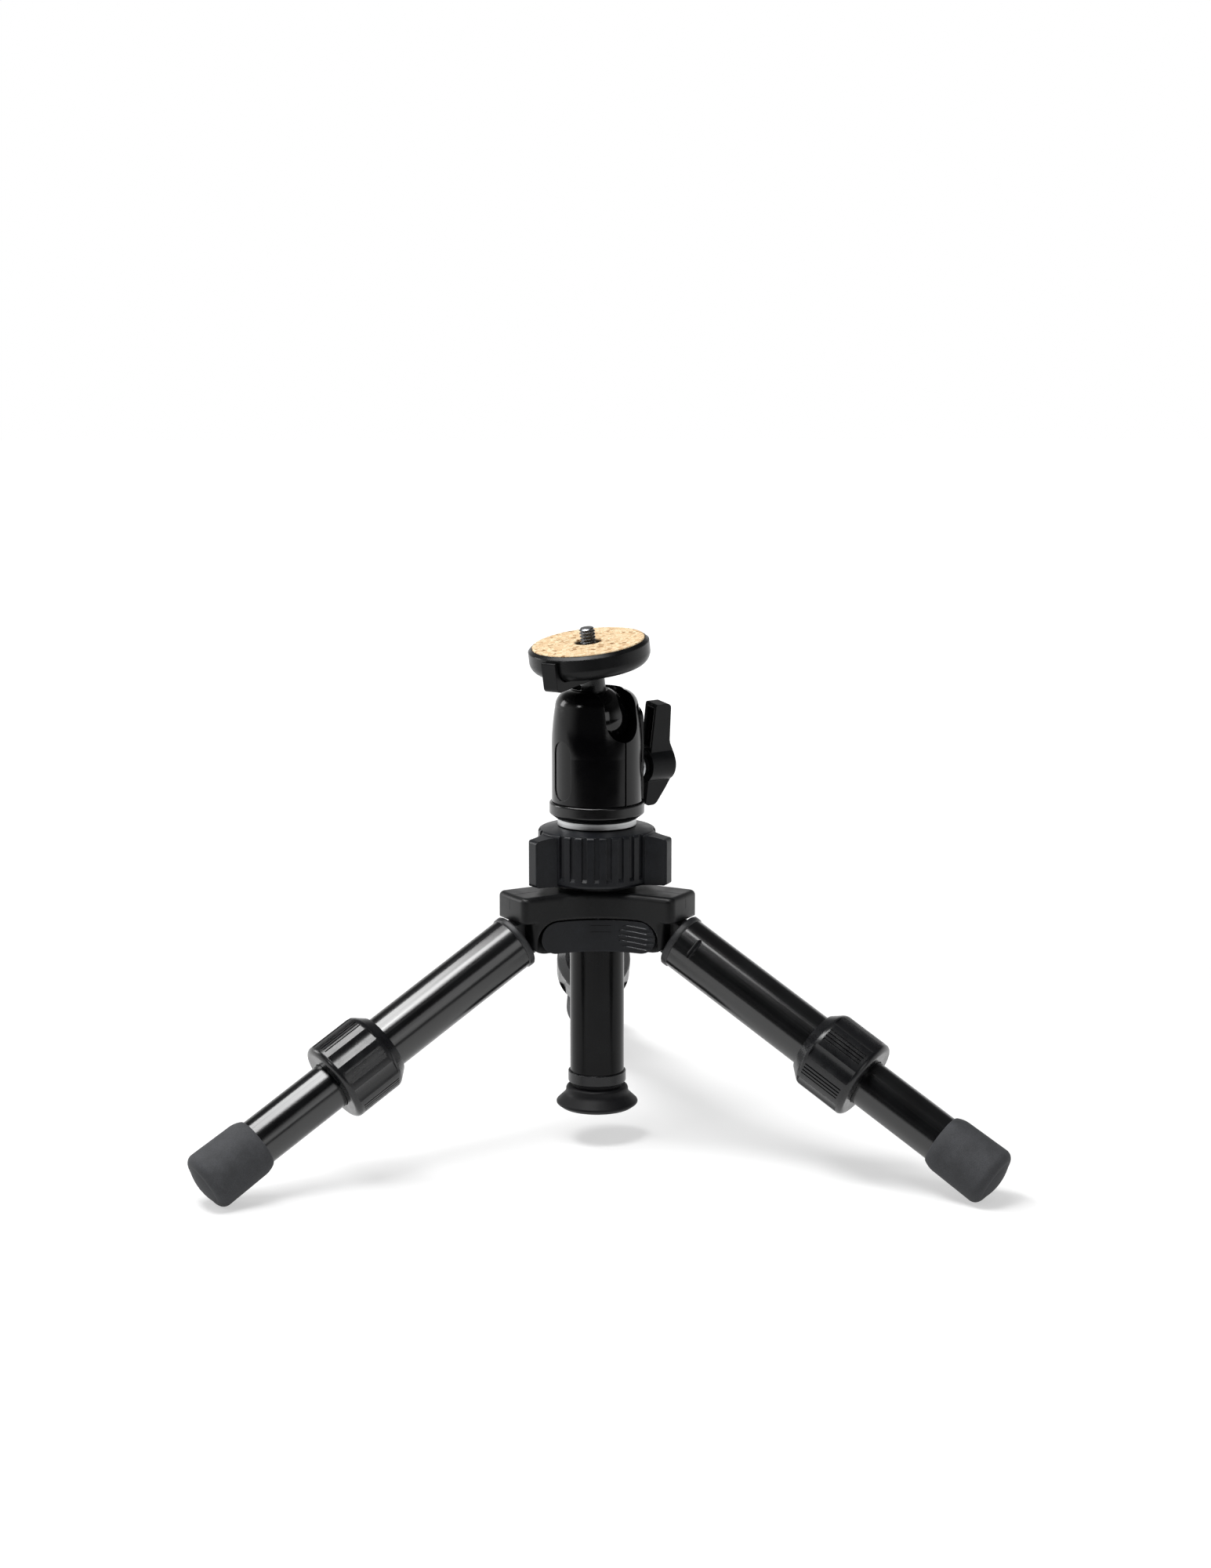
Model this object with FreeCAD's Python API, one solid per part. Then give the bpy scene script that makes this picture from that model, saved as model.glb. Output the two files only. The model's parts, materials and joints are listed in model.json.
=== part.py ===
import FreeCAD, Part
import os
from math import sin, cos, tan, radians, sqrt

# Mini tripod: three two-section legs on a hub, a sliding centre column and a small ball head.
# Millimetres, +Z up, floor at z = 0, column axis on the Z axis, camera side of the photo at -Y.

# Shared by every leg; the three stand at even steps about the column
leg_sides = ("rear", "left", "right")
rear_heading = 90.0
leg_slope = 30.0
pivot_radius = 28.0

# Leg lengths are counted from the hinge pin, along the leg
flange_start = 10.85
flange_thickness = 2.8
flange_radius = 11.45
flange_edge = 0.4
eye_radius = 9.0
tongue_width = 9.0
neck_half_height = 7.1
hinge_pin_radius = 2.5
hinge_pin_length = 13.0
pin_running_fit = 0.05
plug_length = 13.35
plug_bore_radius = 7.0
guide_groove_inner = 5.3
guide_groove_outer = 7.6
guide_groove_depth = 1.0

upper_tube_radius = 11.0
upper_tube_wall = 1.25
upper_tube_length = 78.35
tube_seat_gap = 0.05
crimp_from_flange = 7.6
crimp_tool_radius = 1.5
crimp_depth = 0.95
crimp_angle = 60.0

collar_overlap = 12.3
collar_length = 26.0
collar_radius = 16.35
collar_mouth_radius = 12.6
collar_shoulder_length = 4.6
collar_shoulder_round = 3.5
collar_end_round = 2.2
collar_running_fit = 0.1
collar_lip_length = 1.7
collar_lip_gap = 0.3
collar_flutes = 6
collar_flute_radius = 7.5
collar_flute_depth = 1.0
collar_line_count = 4
collar_line_pitch = 1.5
collar_line_width = 0.6
collar_line_depth = 0.5
collar_line_inset = 1.0
collar_turns = {"rear": 0.0, "left": 20.0, "right": 13.0}

collet_gap = 0.2
collet_wall = 1.39
collet_slit = 1.5

lower_tube_radius = 9.5
lower_tube_wall = 1.2
lower_tube_inside = 26.0
lower_tube_length = 97.2
slide_fit = 0.06

guide_ring_radius = 9.68
guide_ring_thickness = 2.5
guide_plug_length = 7.0
guide_plug_bore = 6.0

foot_overlap = 21.0
foot_mouth_radius = 10.3
foot_mouth_round = 0.4
foot_flare_length = 4.9
foot_flare_radius = 11.6
foot_flare_bow = 0.27
foot_radius = 11.95
foot_edge_round = 3.5
foot_length = 26.15
foot_dome = 1.7

# Hub
arm_half_width = 11.0
arm_past_pin = 12.0
arm_end_bulge = 0.5
arm_corner_round = 3.0
arm_edge_round = 2.0
waist_radius = 18.0
cap_top_above_pin = 13.35
cap_thickness = 10.2
cheek_setback = 4.5
cheek_round_radius = 10.5
slot_side_gap = 0.15
slot_swing_gap = 0.3
slot_end_wall = 1.15
slot_top_above_pin = 5.45
hub_hollow_radius = 12.9
sleeve_radius = 15.9
sleeve_height = 16.6

# Angle levers, one in each bay between two legs
lever_face_inset = 0.3
lever_thickness = 2.2
lever_catch_inset = 6.84
lever_pad_inset = 6.34
lever_height = 12.9
lever_top_gap = 0.7
lever_end_round = 6.4
bay_pad_gap = 0.9
bay_catch_gap = 1.5
bay_root_gap = 0.5
bay_middle_half = 8.0
lever_pin_radius = 1.25
lever_pin_distance = 14.2
lever_pin_head_radius = 2.2
lever_pin_head_height = 0.9
lever_pin_head_proud = 0.27
lever_pin_head_gap = 0.3
lever_pin_grip = 4.0
lever_boss_radius = 2.6
lever_web_half = 2.1
cheek_catch_thickness = 3.25
cheek_pad_thickness = 1.95
catch_radius = 0.8
catch_reach = 0.7
catch_offset = 4.7
catch_passage_gap = 0.25
catch_play = 0.6
pad_from_end = 7.4
pad_half_width = 7.2
pad_half_height = 5.9
pad_rib_count = 5
pad_rib_pitch = 2.15
pad_rib_width = 0.8
pad_rib_height = 0.45
pad_rib_bite = 0.3
spring_along_arm = 22.5
spring_radius = 1.7
spring_wire_radius = 0.25
spring_turns = 4
spring_seat_gap = 0.15
spring_cheek_seat = 1.2
spring_lever_seat = 0.8

# Centre column
column_radius = 11.0
column_wall = 1.2
column_fit = 0.07
bush_gap = 0.05
bush_wall = 1.6
bush_rise = 18.1
bush_slit = 1.2
bush_slit_depth = 17.0
bush_slit_count = 3
column_bottom = 26.0
column_top_radius = 15.9
column_top_thickness = 2.8
column_top_edge = 0.3
column_neck_height = 1.7
column_plug_length = 12.5
stud_radius = 3.175
stud_below = 10.0
stud_above = 6.3
stud_end_gap = 0.2
end_ring_radius = 11.8
end_ring_height = 4.7
end_ring_lip = 3.0
end_ring_edge = 0.8
end_ring_top_edge = 0.3
end_plug_length = 9.0
end_neck_radius = 9.8
end_neck_height = 1.6
end_bead_radius = 12.7
end_bead_round = 1.4
end_bead_drop = 4.4
end_waist_round = 3.0
end_flare_radius = 17.1
end_flare_drop = 8.6
end_flare_round = 0.8
end_lip_height = 1.7
end_foot_radius = 14.8
end_screw_radius = 3.0
end_screw_length = 12.0
end_screw_gap = 1.0

# Column lock knob
knob_above_hub = 2.5
knob_floor_gap = 0.3
knob_radius = 23.7
knob_height = 20.7
knob_top_radius = 16.6
knob_top_rise = 1.3
knob_bore_top_gap = 0.4
knob_edge = 1.3
knob_wing_count = 3
knob_wing_heading = 215.0
knob_wing_root = 20.7
knob_wing_root_width = 13.0
knob_wing_waist = 25.3
knob_wing_waist_width = 7.8
knob_wing_tip = 31.7
knob_wing_tip_width = 6.0
knob_wing_corner = 0.8
knob_wing_height = 18.7
knob_wing_foot_round = 1.4
knob_wing_top_round = 1.6
knob_wing_top_slope = 1.3
knob_groove_count = 8
knob_groove_pitch = 12.1
knob_groove_width = 2.1
knob_groove_depth = 0.9
knob_groove_floor = 2.6
knob_groove_ramp = 1.3

# Ball head, turned about the column so that its notch faces front right
head_heading = -52.0
head_lean = 9.0
head_drop = 1.2
base_radius = 19.2
base_height = 6.8
base_foot_radius = 16.2
base_chamfer_height = 2.2
base_foot_round = 0.5
base_round = 1.0
base_top_round = 0.8
spigot_radius = 12.0
spigot_height = 6.2
spigot_fit = 0.05
spigot_end_gap = 0.5
seam_gap = 0.3
body_radius = 18.2
body_straight = 18.9
body_side_bow = 0.47
body_shoulder_radius = 16.8
body_shoulder_height = 38.3
body_dome_bow = 1.58
body_lip_radius = 10.9
body_lip_height = 0.5
body_lip_wall = 0.2
body_height = 45.5
body_mouth_radius = 10.2
ball_height = 33.3
ball_radius = 13.0
ball_fit = 0.05
ball_flat = 11.6
mouth_bore_from_ball = 7.0
notch_half_width = 7.9
slit_width = 0.8
slit_behind_axis = 7.0
seat_wall = 1.25
seat_half_angle = 26.0
seat_travel_angle = 48.0
badge_width = 10.3
badge_height = 24.0
badge_above_seam = 1.4
badge_depth = 0.4

# Clamp of the ball head
clamp_across = 4.5
clamp_height = 12.5
boss_face = 16.4
boss_half_width = 5.1
boss_top = 37.7
boss_root = 8.0
clamp_screw_radius = 2.5
clamp_screw_tail = 11.0
clamp_screw_end_gap = 0.5
clamp_screw_in_knob = 4.0
clamp_thread_fit = 0.06
clamp_clearance = 0.3
washer_radius = 5.35
washer_thickness = 1.0
washer_spot_gap = 0.3
clamp_knob_gap = 0.1
clamp_hub_radius = 7.0
clamp_hub_back = 3.7
clamp_neck_radius = 4.2
clamp_hub_length = 12.0
clamp_blade_half = 3.4
clamp_blade_top = 26.2
clamp_blade_tail = 16.4
clamp_blade_depth = 7.8
clamp_blade_setback = 1.1
clamp_edge_round = 0.8
clamp_tip_round = 2.0
clamp_shelf_height = 10.0
clamp_shelf_out = 1.4
clamp_shelf_round = 6.0
clamp_bulge = 12.9
clamp_bulge_half = 3.6
clamp_bulge_round = 4.0
clamp_crease_drop = 9.4
clamp_crease_inset = 3.2
clamp_crease_round = 5.0
clamp_tail_depth = 5.2
clamp_tail_round = 3.0
clamp_heel_round = 1.6
clamp_hollow_depth = 2.4
clamp_hollow_half = 2.2
clamp_hollow_margin = 1.0
clamp_hollow_end_wall = 1.6
clamp_tilt = 9.0

# Stem, camera plate and its lock lever; heights are counted from the ball's centre
stem_radius = 4.9
stem_fit = 0.06
stem_foot_radius = 5.6
stem_foot_height = 3.0
stem_foot_depth = 6.0
stem_foot_fit = 0.05
plate_radius = 24.3
plate_rim_height = 30.2
plate_chamfer = 1.3
plate_chamfer_height = 1.2
plate_wall_bottom = 25.5
plate_belly_radius = 21.2
plate_belly_height = 21.3
plate_belly_bow = 0.66
plate_hub_height = 19.3
plate_pocket_top = 25.8
plate_pocket_radius = 8.75
cork_radius = 22.65
cork_gap = 0.1
cork_thickness = 1.5
cork_hole_radius = 5.5
cork_seat = 0.2
camera_screw_radius = 3.175
camera_screw_proud = 5.5
camera_screw_buried = 9.0
camera_screw_shank_radius = 2.55
camera_screw_chamfer = 0.6
lever_ring_fit = 0.1
lever_ring_radius = 8.4
lever_ring_bottom = 17.2
lever_ring_top = 25.5
lever_ring_nose = 6.0
lever_ring_chamfer = 1.7
fin_half_width = 3.5
fin_heading = -77.0
fin_tip_radius = 26.3
fin_tip_bottom = 17.5
fin_tip_round = 2.0
fin_tip_top = 29.5
fin_top_round = 0.7
fin_rim_gap = 0.35

# How far a cut runs past the face it opens
overshoot = 2.0

# Runs of an outline shorter than this are left out
smallest_run = 1e-6

# Half the angle between two legs, and the heading of each leg
bay_offset = 180 / len(leg_sides)
half_bay = radians(bay_offset)
leg_headings = {}
for place, leg_side in enumerate(leg_sides):
    leg_headings[leg_side] = rear_heading + place * 2 * bay_offset

origin = FreeCAD.Vector(0, 0, 0)
x_axis = FreeCAD.Vector(1, 0, 0)
y_axis = FreeCAD.Vector(0, 1, 0)
z_axis = FreeCAD.Vector(0, 0, 1)

# Places along a leg, each counted from the piece before it
upper_tube_start = flange_start + flange_thickness
upper_tube_end = upper_tube_start + upper_tube_length
collar_start = upper_tube_end - collar_overlap
collar_end = collar_start + collar_length
lower_tube_start = upper_tube_end - lower_tube_inside
lower_tube_end = lower_tube_start + lower_tube_length
foot_start = lower_tube_end - foot_overlap

# Reach of an arm's cap and cheeks, and how far the corner of an arm lies from the middle of the bay
arm_reach = pivot_radius + arm_past_pin
cheek_reach = arm_reach - cheek_setback
bay_corner = arm_reach * sin(half_bay) - arm_half_width * cos(half_bay)
lever_catch_side = bay_corner - lever_catch_inset
lever_pad_side = bay_corner - lever_pad_inset

# The lowest point of a standing foot is on its rounded edge, which sets how high the hinge stands
edge_along = foot_start + foot_length - foot_edge_round
edge_across = foot_radius - foot_edge_round
edge_fall = edge_along * sin(radians(leg_slope)) + edge_across * cos(radians(leg_slope))
pivot_height = edge_fall + foot_edge_round

# Heights of the stack above the hinge
cap_top = pivot_height + cap_top_above_pin
cap_bottom = cap_top - cap_thickness
hub_bottom = pivot_height - cheek_round_radius
sleeve_top = cap_top + sleeve_height
knob_bottom = cap_top + knob_above_hub
knob_shoulder = knob_bottom + knob_height
knob_top = knob_shoulder + knob_top_rise
column_plate_bottom = knob_top + knob_floor_gap
base_bottom = column_plate_bottom + column_top_thickness
seam_height = base_bottom + base_height
body_bottom = seam_height + seam_gap
ball_centre = body_bottom + ball_height
clamp_centre = body_bottom + clamp_height


def rounded_corner(before, corner, after, radius):
    """The two ends and the middle of the arc that rounds a corner; a short run limits the radius."""
    back = before - corner
    ahead = after - corner
    half_angle = back.getAngle(ahead) / 2
    reach = min(radius / tan(half_angle), back.Length, ahead.Length)
    radius = reach * tan(half_angle)
    back.normalize()
    ahead.normalize()
    inward = back + ahead
    inward.normalize()
    middle = corner + inward * (radius / sin(half_angle) - radius)
    return corner + back * reach, middle, corner + ahead * reach


def edge_chain(points):
    """Closed wire in the XZ plane. (x, z) is a corner, (x, z, radius) a rounded one between straight
    runs, and (xm, zm, x, z) the end of an arc through its middle."""
    ends = [FreeCAD.Vector(point[0], 0, point[1]) for point in points]
    for index, point in enumerate(points):
        if len(point) == 4:
            ends[index] = FreeCAD.Vector(point[2], 0, point[3])
    edges = []
    here = ends[0]
    for index in list(range(1, len(points))) + [0]:
        point = points[index]
        there = ends[index]
        if len(point) == 4:
            middle = FreeCAD.Vector(point[0], 0, point[1])
            edges.append(Part.Arc(here, middle, there).toShape())
            here = there
        elif len(point) == 3:
            after = ends[(index + 1) % len(points)]
            start, middle, end = rounded_corner(here, there, after, point[2])
            if here.distanceToPoint(start) > smallest_run:
                edges.append(Part.makeLine(here, start))
            edges.append(Part.Arc(start, middle, end).toShape())
            here = end
        elif here.distanceToPoint(there) > smallest_run:
            edges.append(Part.makeLine(here, there))
            here = there
    return Part.Wire(edges)


def bowed(start, end, bow):
    """Arc entry for an outline: it bows out to the right of the way from start to end."""
    run_x = end[0] - start[0]
    run_z = end[1] - start[1]
    length = sqrt(run_x ** 2 + run_z ** 2)
    middle_x = (start[0] + end[0]) / 2 + bow * run_z / length
    middle_z = (start[1] + end[1]) / 2 - bow * run_x / length
    return (middle_x, middle_z, end[0], end[1])


def turned(points):
    """Solid of revolution about Z from an outline of radius and height."""
    return Part.Face(edge_chain(points)).revolve(origin, z_axis, 360)


def rod(radius, start, end):
    """Round bar on the Z axis between two heights."""
    return Part.makeCylinder(radius, end - start, FreeCAD.Vector(0, 0, start))


def rod_along(radius, start, end, axis):
    """Round bar from one point to another given along an axis through a base point."""
    base = axis[0] + axis[1] * start
    return Part.makeCylinder(radius, end - start, base, axis[1])


def pipe(outer, inner, start, end):
    """Round tube on the Z axis."""
    return rod(outer, start, end).cut(rod(inner, start, end))


def block(x_range, y_range, z_range):
    """Box between given limits."""
    corner = FreeCAD.Vector(x_range[0], y_range[0], z_range[0])
    size_x = x_range[1] - x_range[0]
    size_y = y_range[1] - y_range[0]
    size_z = z_range[1] - z_range[0]
    return Part.makeBox(size_x, size_y, size_z, corner)


def standing_slab(points, start, end):
    """Outline in X and Z, made thick along Y."""
    face = Part.Face(edge_chain(points))
    face.translate(y_axis * start)
    return face.extrude(y_axis * (end - start))


def lying_slab(points, start, end):
    """Outline in X and Y, made thick along Z."""
    face = Part.Face(edge_chain(points))
    face.rotate(origin, x_axis, -90)
    face.translate(z_axis * start)
    return face.extrude(z_axis * (end - start))


def turn(shape, angle):
    """Copy turned about the Z axis."""
    copy = shape.copy()
    copy.rotate(origin, z_axis, angle)
    return copy


def lay_leg(shape, heading):
    """Put a leg piece, built upright from the hinge pin, at its slope under the hub."""
    copy = shape.copy()
    copy.rotate(origin, y_axis, 90 + leg_slope)
    copy.translate(FreeCAD.Vector(pivot_radius, 0, pivot_height))
    return turn(copy, heading)


def place_head(shape):
    """Turn a piece of the head about the column."""
    return turn(shape, head_heading)


def place_stem(shape):
    """Put a piece built about the ball's centre at the tilt that the stem has."""
    copy = shape.copy()
    copy.rotate(origin, y_axis, head_drop)
    copy.rotate(origin, x_axis, head_lean)
    copy.translate(z_axis * ball_centre)
    return place_head(copy)


def leg_hinge_casting():
    """Hinge tongue with its eye, the flange that the tube butts on and the plug inside the tube."""
    half = tongue_width / 2
    flange_end = upper_tube_start
    plug_radius = upper_tube_radius - upper_tube_wall - tube_seat_gap
    plug_end = flange_end + plug_length
    across = (FreeCAD.Vector(0, 0, 0), y_axis)
    eye = rod_along(eye_radius, -half, half, across)
    neck = block((-neck_half_height, neck_half_height), (-half, half), (0, flange_start + flange_edge))
    inner_edge = flange_radius - flange_edge
    flange = turned([
        (0, flange_start),
        (inner_edge, flange_start),
        (flange_radius, flange_start + flange_edge),
        (flange_radius, flange_end - flange_edge),
        (inner_edge, flange_end),
        (0, flange_end),
    ])
    plug = pipe(plug_radius, plug_bore_radius, flange_end - flange_edge, plug_end)
    casting = eye.fuse([neck, flange, plug])
    bore = rod_along(hinge_pin_radius + pin_running_fit, -half, half, across)
    groove_floor = half - guide_groove_depth
    groove = rod_along(guide_groove_outer, groove_floor, half, across)
    groove = groove.cut(rod_along(guide_groove_inner, groove_floor, half, across))
    return casting.cut([bore, groove])


def leg_upper_tube():
    """Upper leg tube, crimped on the casting with a round tool."""
    inner = upper_tube_radius - upper_tube_wall
    tube = pipe(upper_tube_radius, inner, upper_tube_start, upper_tube_end)
    middle = upper_tube_radius - crimp_depth + crimp_tool_radius
    line = (FreeCAD.Vector(middle, 0, upper_tube_start + crimp_from_flange), y_axis)
    dent = rod_along(crimp_tool_radius, -upper_tube_radius, upper_tube_radius, line)
    return tube.cut(turn(dent, 180 + crimp_angle))


def leg_collar():
    """Twist-lock collar: wide shallow flutes, with a group of fine lines between each two."""
    bore = upper_tube_radius + collar_running_fit
    lip_bore = lower_tube_radius + collar_lip_gap
    grip_start = collar_start + collar_shoulder_length
    grip_end = collar_end - collar_end_round
    collar = turned([
        (bore, collar_start),
        (collar_mouth_radius, collar_start),
        (collar_radius, grip_start, collar_shoulder_round),
        (collar_radius, collar_end, collar_end_round),
        (lip_bore, collar_end),
        (lip_bore, collar_end - collar_lip_length),
        (bore, collar_end - collar_lip_length),
    ])
    flute_axis = (x_axis * (collar_radius + collar_flute_radius - collar_flute_depth), z_axis)
    flute = rod_along(collar_flute_radius, grip_start, grip_end, flute_axis)
    half_line = collar_line_width / 2
    floor = collar_radius - collar_line_depth
    lengthwise = (grip_start + collar_line_inset, grip_end - collar_line_inset)
    step = 360 / collar_flutes
    cuts = []
    for index in range(collar_flutes):
        cuts.append(turn(flute, index * step))
        for number in range(collar_line_count):
            shift = (number - (collar_line_count - 1) / 2) * collar_line_pitch
            across = (shift - half_line, shift + half_line)
            line = block((floor, collar_radius + overshoot), across, lengthwise)
            cuts.append(turn(line, (index + 1 / 2) * step))
    return collar.cut(cuts)


def leg_collet():
    """Split bush that the collar squeezes on the lower tube."""
    start = upper_tube_end + collet_gap
    end = collar_end - collar_lip_length - collet_gap
    inner = lower_tube_radius + slide_fit
    collet = pipe(inner + collet_wall, inner, start, end)
    slit = block((0, upper_tube_radius), (-collet_slit / 2, collet_slit / 2), (start, end))
    return collet.cut(slit)


def leg_lower_tube():
    """Lower leg tube."""
    return pipe(lower_tube_radius, lower_tube_radius - lower_tube_wall, lower_tube_start, lower_tube_end)


def leg_guide_ring():
    """Plastic ring plugged in the lower tube's inner end, which runs inside the upper tube."""
    plug_radius = lower_tube_radius - lower_tube_wall
    flange = rod(guide_ring_radius, lower_tube_start - guide_ring_thickness, lower_tube_start)
    plug = rod(plug_radius, lower_tube_start, lower_tube_start + guide_plug_length)
    bore_start = lower_tube_start - guide_ring_thickness
    bore = rod(guide_plug_bore, bore_start, lower_tube_start + guide_plug_length)
    return flange.fuse(plug).cut(bore)


def leg_foot():
    """Rubber foot with a flared mouth, a rounded edge and a shallow domed end."""
    end = foot_start + foot_length
    flare_end = foot_start + foot_flare_length
    edge_centre = foot_radius - foot_edge_round
    edge_mid = foot_edge_round * sin(radians(45))
    dome_radius = (edge_centre ** 2 + foot_dome ** 2) / (2 * foot_dome)
    dome_mid = end + foot_dome - dome_radius + sqrt(dome_radius ** 2 - edge_centre ** 2 / 4)
    mouth = (foot_mouth_radius, foot_start + foot_mouth_round)
    foot = turned([
        (0, foot_start),
        (foot_mouth_radius - foot_mouth_round, foot_start),
        mouth,
        bowed(mouth, (foot_flare_radius, flare_end), foot_flare_bow),
        (foot_radius, end - foot_edge_round),
        (edge_centre + edge_mid, end - foot_edge_round + edge_mid, edge_centre, end),
        (edge_centre / 2, dome_mid, 0, end + foot_dome),
    ])
    return foot.cut(rod(lower_tube_radius, foot_start, lower_tube_end))


def side_line(across, along, sign):
    """Point beside an arm, seen from the bay: distance across the arm and along it."""
    x = along * cos(half_bay) + across * sin(half_bay)
    y = along * sin(half_bay) - across * cos(half_bay)
    return (x, sign * y)


def waist_arc(inset):
    """Centre distance and radius of the hollow curve between two arms, moved in by an inset."""
    centre = (waist_radius - arm_half_width) / (1 - sin(half_bay))
    return centre, centre - waist_radius + inset


def three_arm_slab(reach, start, end):
    """Three-armed plate with hollow curves between the arms."""
    centre, radius = waist_arc(0)
    tangent = (centre - radius * sin(half_bay), radius * cos(half_bay))
    waist_points = (
        FreeCAD.Vector(tangent[0], -tangent[1], 0),
        FreeCAD.Vector(centre - radius, 0, 0),
        FreeCAD.Vector(tangent[0], tangent[1], 0),
    )
    edges = []
    for heading in leg_headings.values():
        bay_turn = FreeCAD.Rotation(z_axis, heading - bay_offset)
        arm_turn = FreeCAD.Rotation(z_axis, heading)
        next_turn = FreeCAD.Rotation(z_axis, heading + bay_offset)
        first, middle, last = [bay_turn.multVec(point) for point in waist_points]
        right = arm_turn.multVec(FreeCAD.Vector(reach, -arm_half_width, 0))
        tip = arm_turn.multVec(FreeCAD.Vector(reach + arm_end_bulge, 0, 0))
        left = arm_turn.multVec(FreeCAD.Vector(reach, arm_half_width, 0))
        following = next_turn.multVec(waist_points[0])
        edges.append(Part.Arc(first, middle, last).toShape())
        edges.append(Part.makeLine(last, right))
        edges.append(Part.Arc(right, tip, left).toShape())
        edges.append(Part.makeLine(left, following))
    face = Part.Face(Part.Wire(edges))
    face.translate(z_axis * start)
    slab = face.extrude(z_axis * (end - start))
    corners = []
    for edge in slab.Edges:
        middle = edge.CenterOfMass
        upright = abs(edge.BoundBox.ZLength - (end - start)) < smallest_run
        if upright and sqrt(middle.x ** 2 + middle.y ** 2) > reach:
            corners.append(edge)
    return slab.makeFillet(arm_corner_round, corners)


def hub_bay():
    """Space for one angle lever, seen along +X: behind its face, open below, round at the top."""
    low = hub_bottom - overshoot
    catch_end = lever_catch_side + bay_catch_gap
    pad_end = lever_pad_side + bay_pad_gap
    catch_wall = tongue_width / 2 + slot_side_gap + cheek_catch_thickness
    pad_wall = tongue_width / 2 + slot_side_gap + cheek_pad_thickness
    catch_along = (catch_end + catch_wall * cos(half_bay)) / sin(half_bay)
    pad_along = (pad_end + pad_wall * cos(half_bay)) / sin(half_bay)
    root_along = pivot_radius - eye_radius + bay_root_gap
    outside = arm_reach + overshoot
    plan = lying_slab([
        (outside, -catch_end),
        side_line(catch_wall, catch_along, -1),
        side_line(catch_wall, root_along, -1),
        (hub_hollow_radius, -bay_middle_half),
        (hub_hollow_radius - overshoot, 0),
        (hub_hollow_radius, bay_middle_half),
        side_line(pad_wall, root_along, 1),
        side_line(pad_wall, pad_along, 1),
        (outside, pad_end),
    ], low, cap_bottom)
    bend = lever_end_round + bay_catch_gap
    arch = lever_outline(-catch_end, pad_end, low, cap_bottom, bend, False)
    return plan.common(arch)


def lever_outline(left, right, bottom, top, bend, round_below):
    """Elevation of a lever or of its bay: a long slab with round ends, thick along X."""
    middle = (left + right) / 2
    points = [(middle, top), (right, top, bend)]
    if round_below:
        points += [(right, bottom, bend), (left, bottom, bend)]
    else:
        points += [(right, bottom), (left, bottom)]
    points.append((left, top, bend))
    slab = standing_slab(points, 0, arm_reach + overshoot)
    slab.rotate(origin, z_axis, 90)
    return slab.mirror(origin, x_axis)


def arm_axis(side, along, height):
    """Base point and direction across an arm, seen from the bay, at a place along the arm."""
    direction = FreeCAD.Vector(sin(half_bay), -side * cos(half_bay), 0)
    base = FreeCAD.Vector(along * cos(half_bay), side * along * sin(half_bay), height)
    return (base, direction)


def bay_band(inset, thickness, start, end):
    """Plate that follows the hub's hollow side, between two depths behind it."""
    outer_centre, outer_radius = waist_arc(inset)
    inner_radius = outer_radius + thickness
    outer_across = arm_half_width - inset
    inner_across = outer_across - thickness
    outer_x = outer_centre - outer_radius * sin(half_bay)
    inner_x = outer_centre - inner_radius * sin(half_bay)
    outer_y = outer_radius * cos(half_bay)
    inner_y = inner_radius * cos(half_bay)
    reach = cheek_reach + overshoot
    far_outer = side_line(outer_across, reach, 1)
    far_inner = side_line(inner_across, reach, 1)
    return lying_slab([
        (outer_x, -outer_y),
        (outer_centre - outer_radius, 0, outer_x, outer_y),
        far_outer,
        far_inner,
        (inner_x, inner_y),
        (outer_centre - inner_radius, 0, inner_x, -inner_y),
        (far_inner[0], -far_inner[1]),
        (far_outer[0], -far_outer[1]),
    ], start, end)


def catch_height():
    """Height of the lever's catch, level with the groove in the hinge casting."""
    return pivot_height - catch_offset


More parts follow.
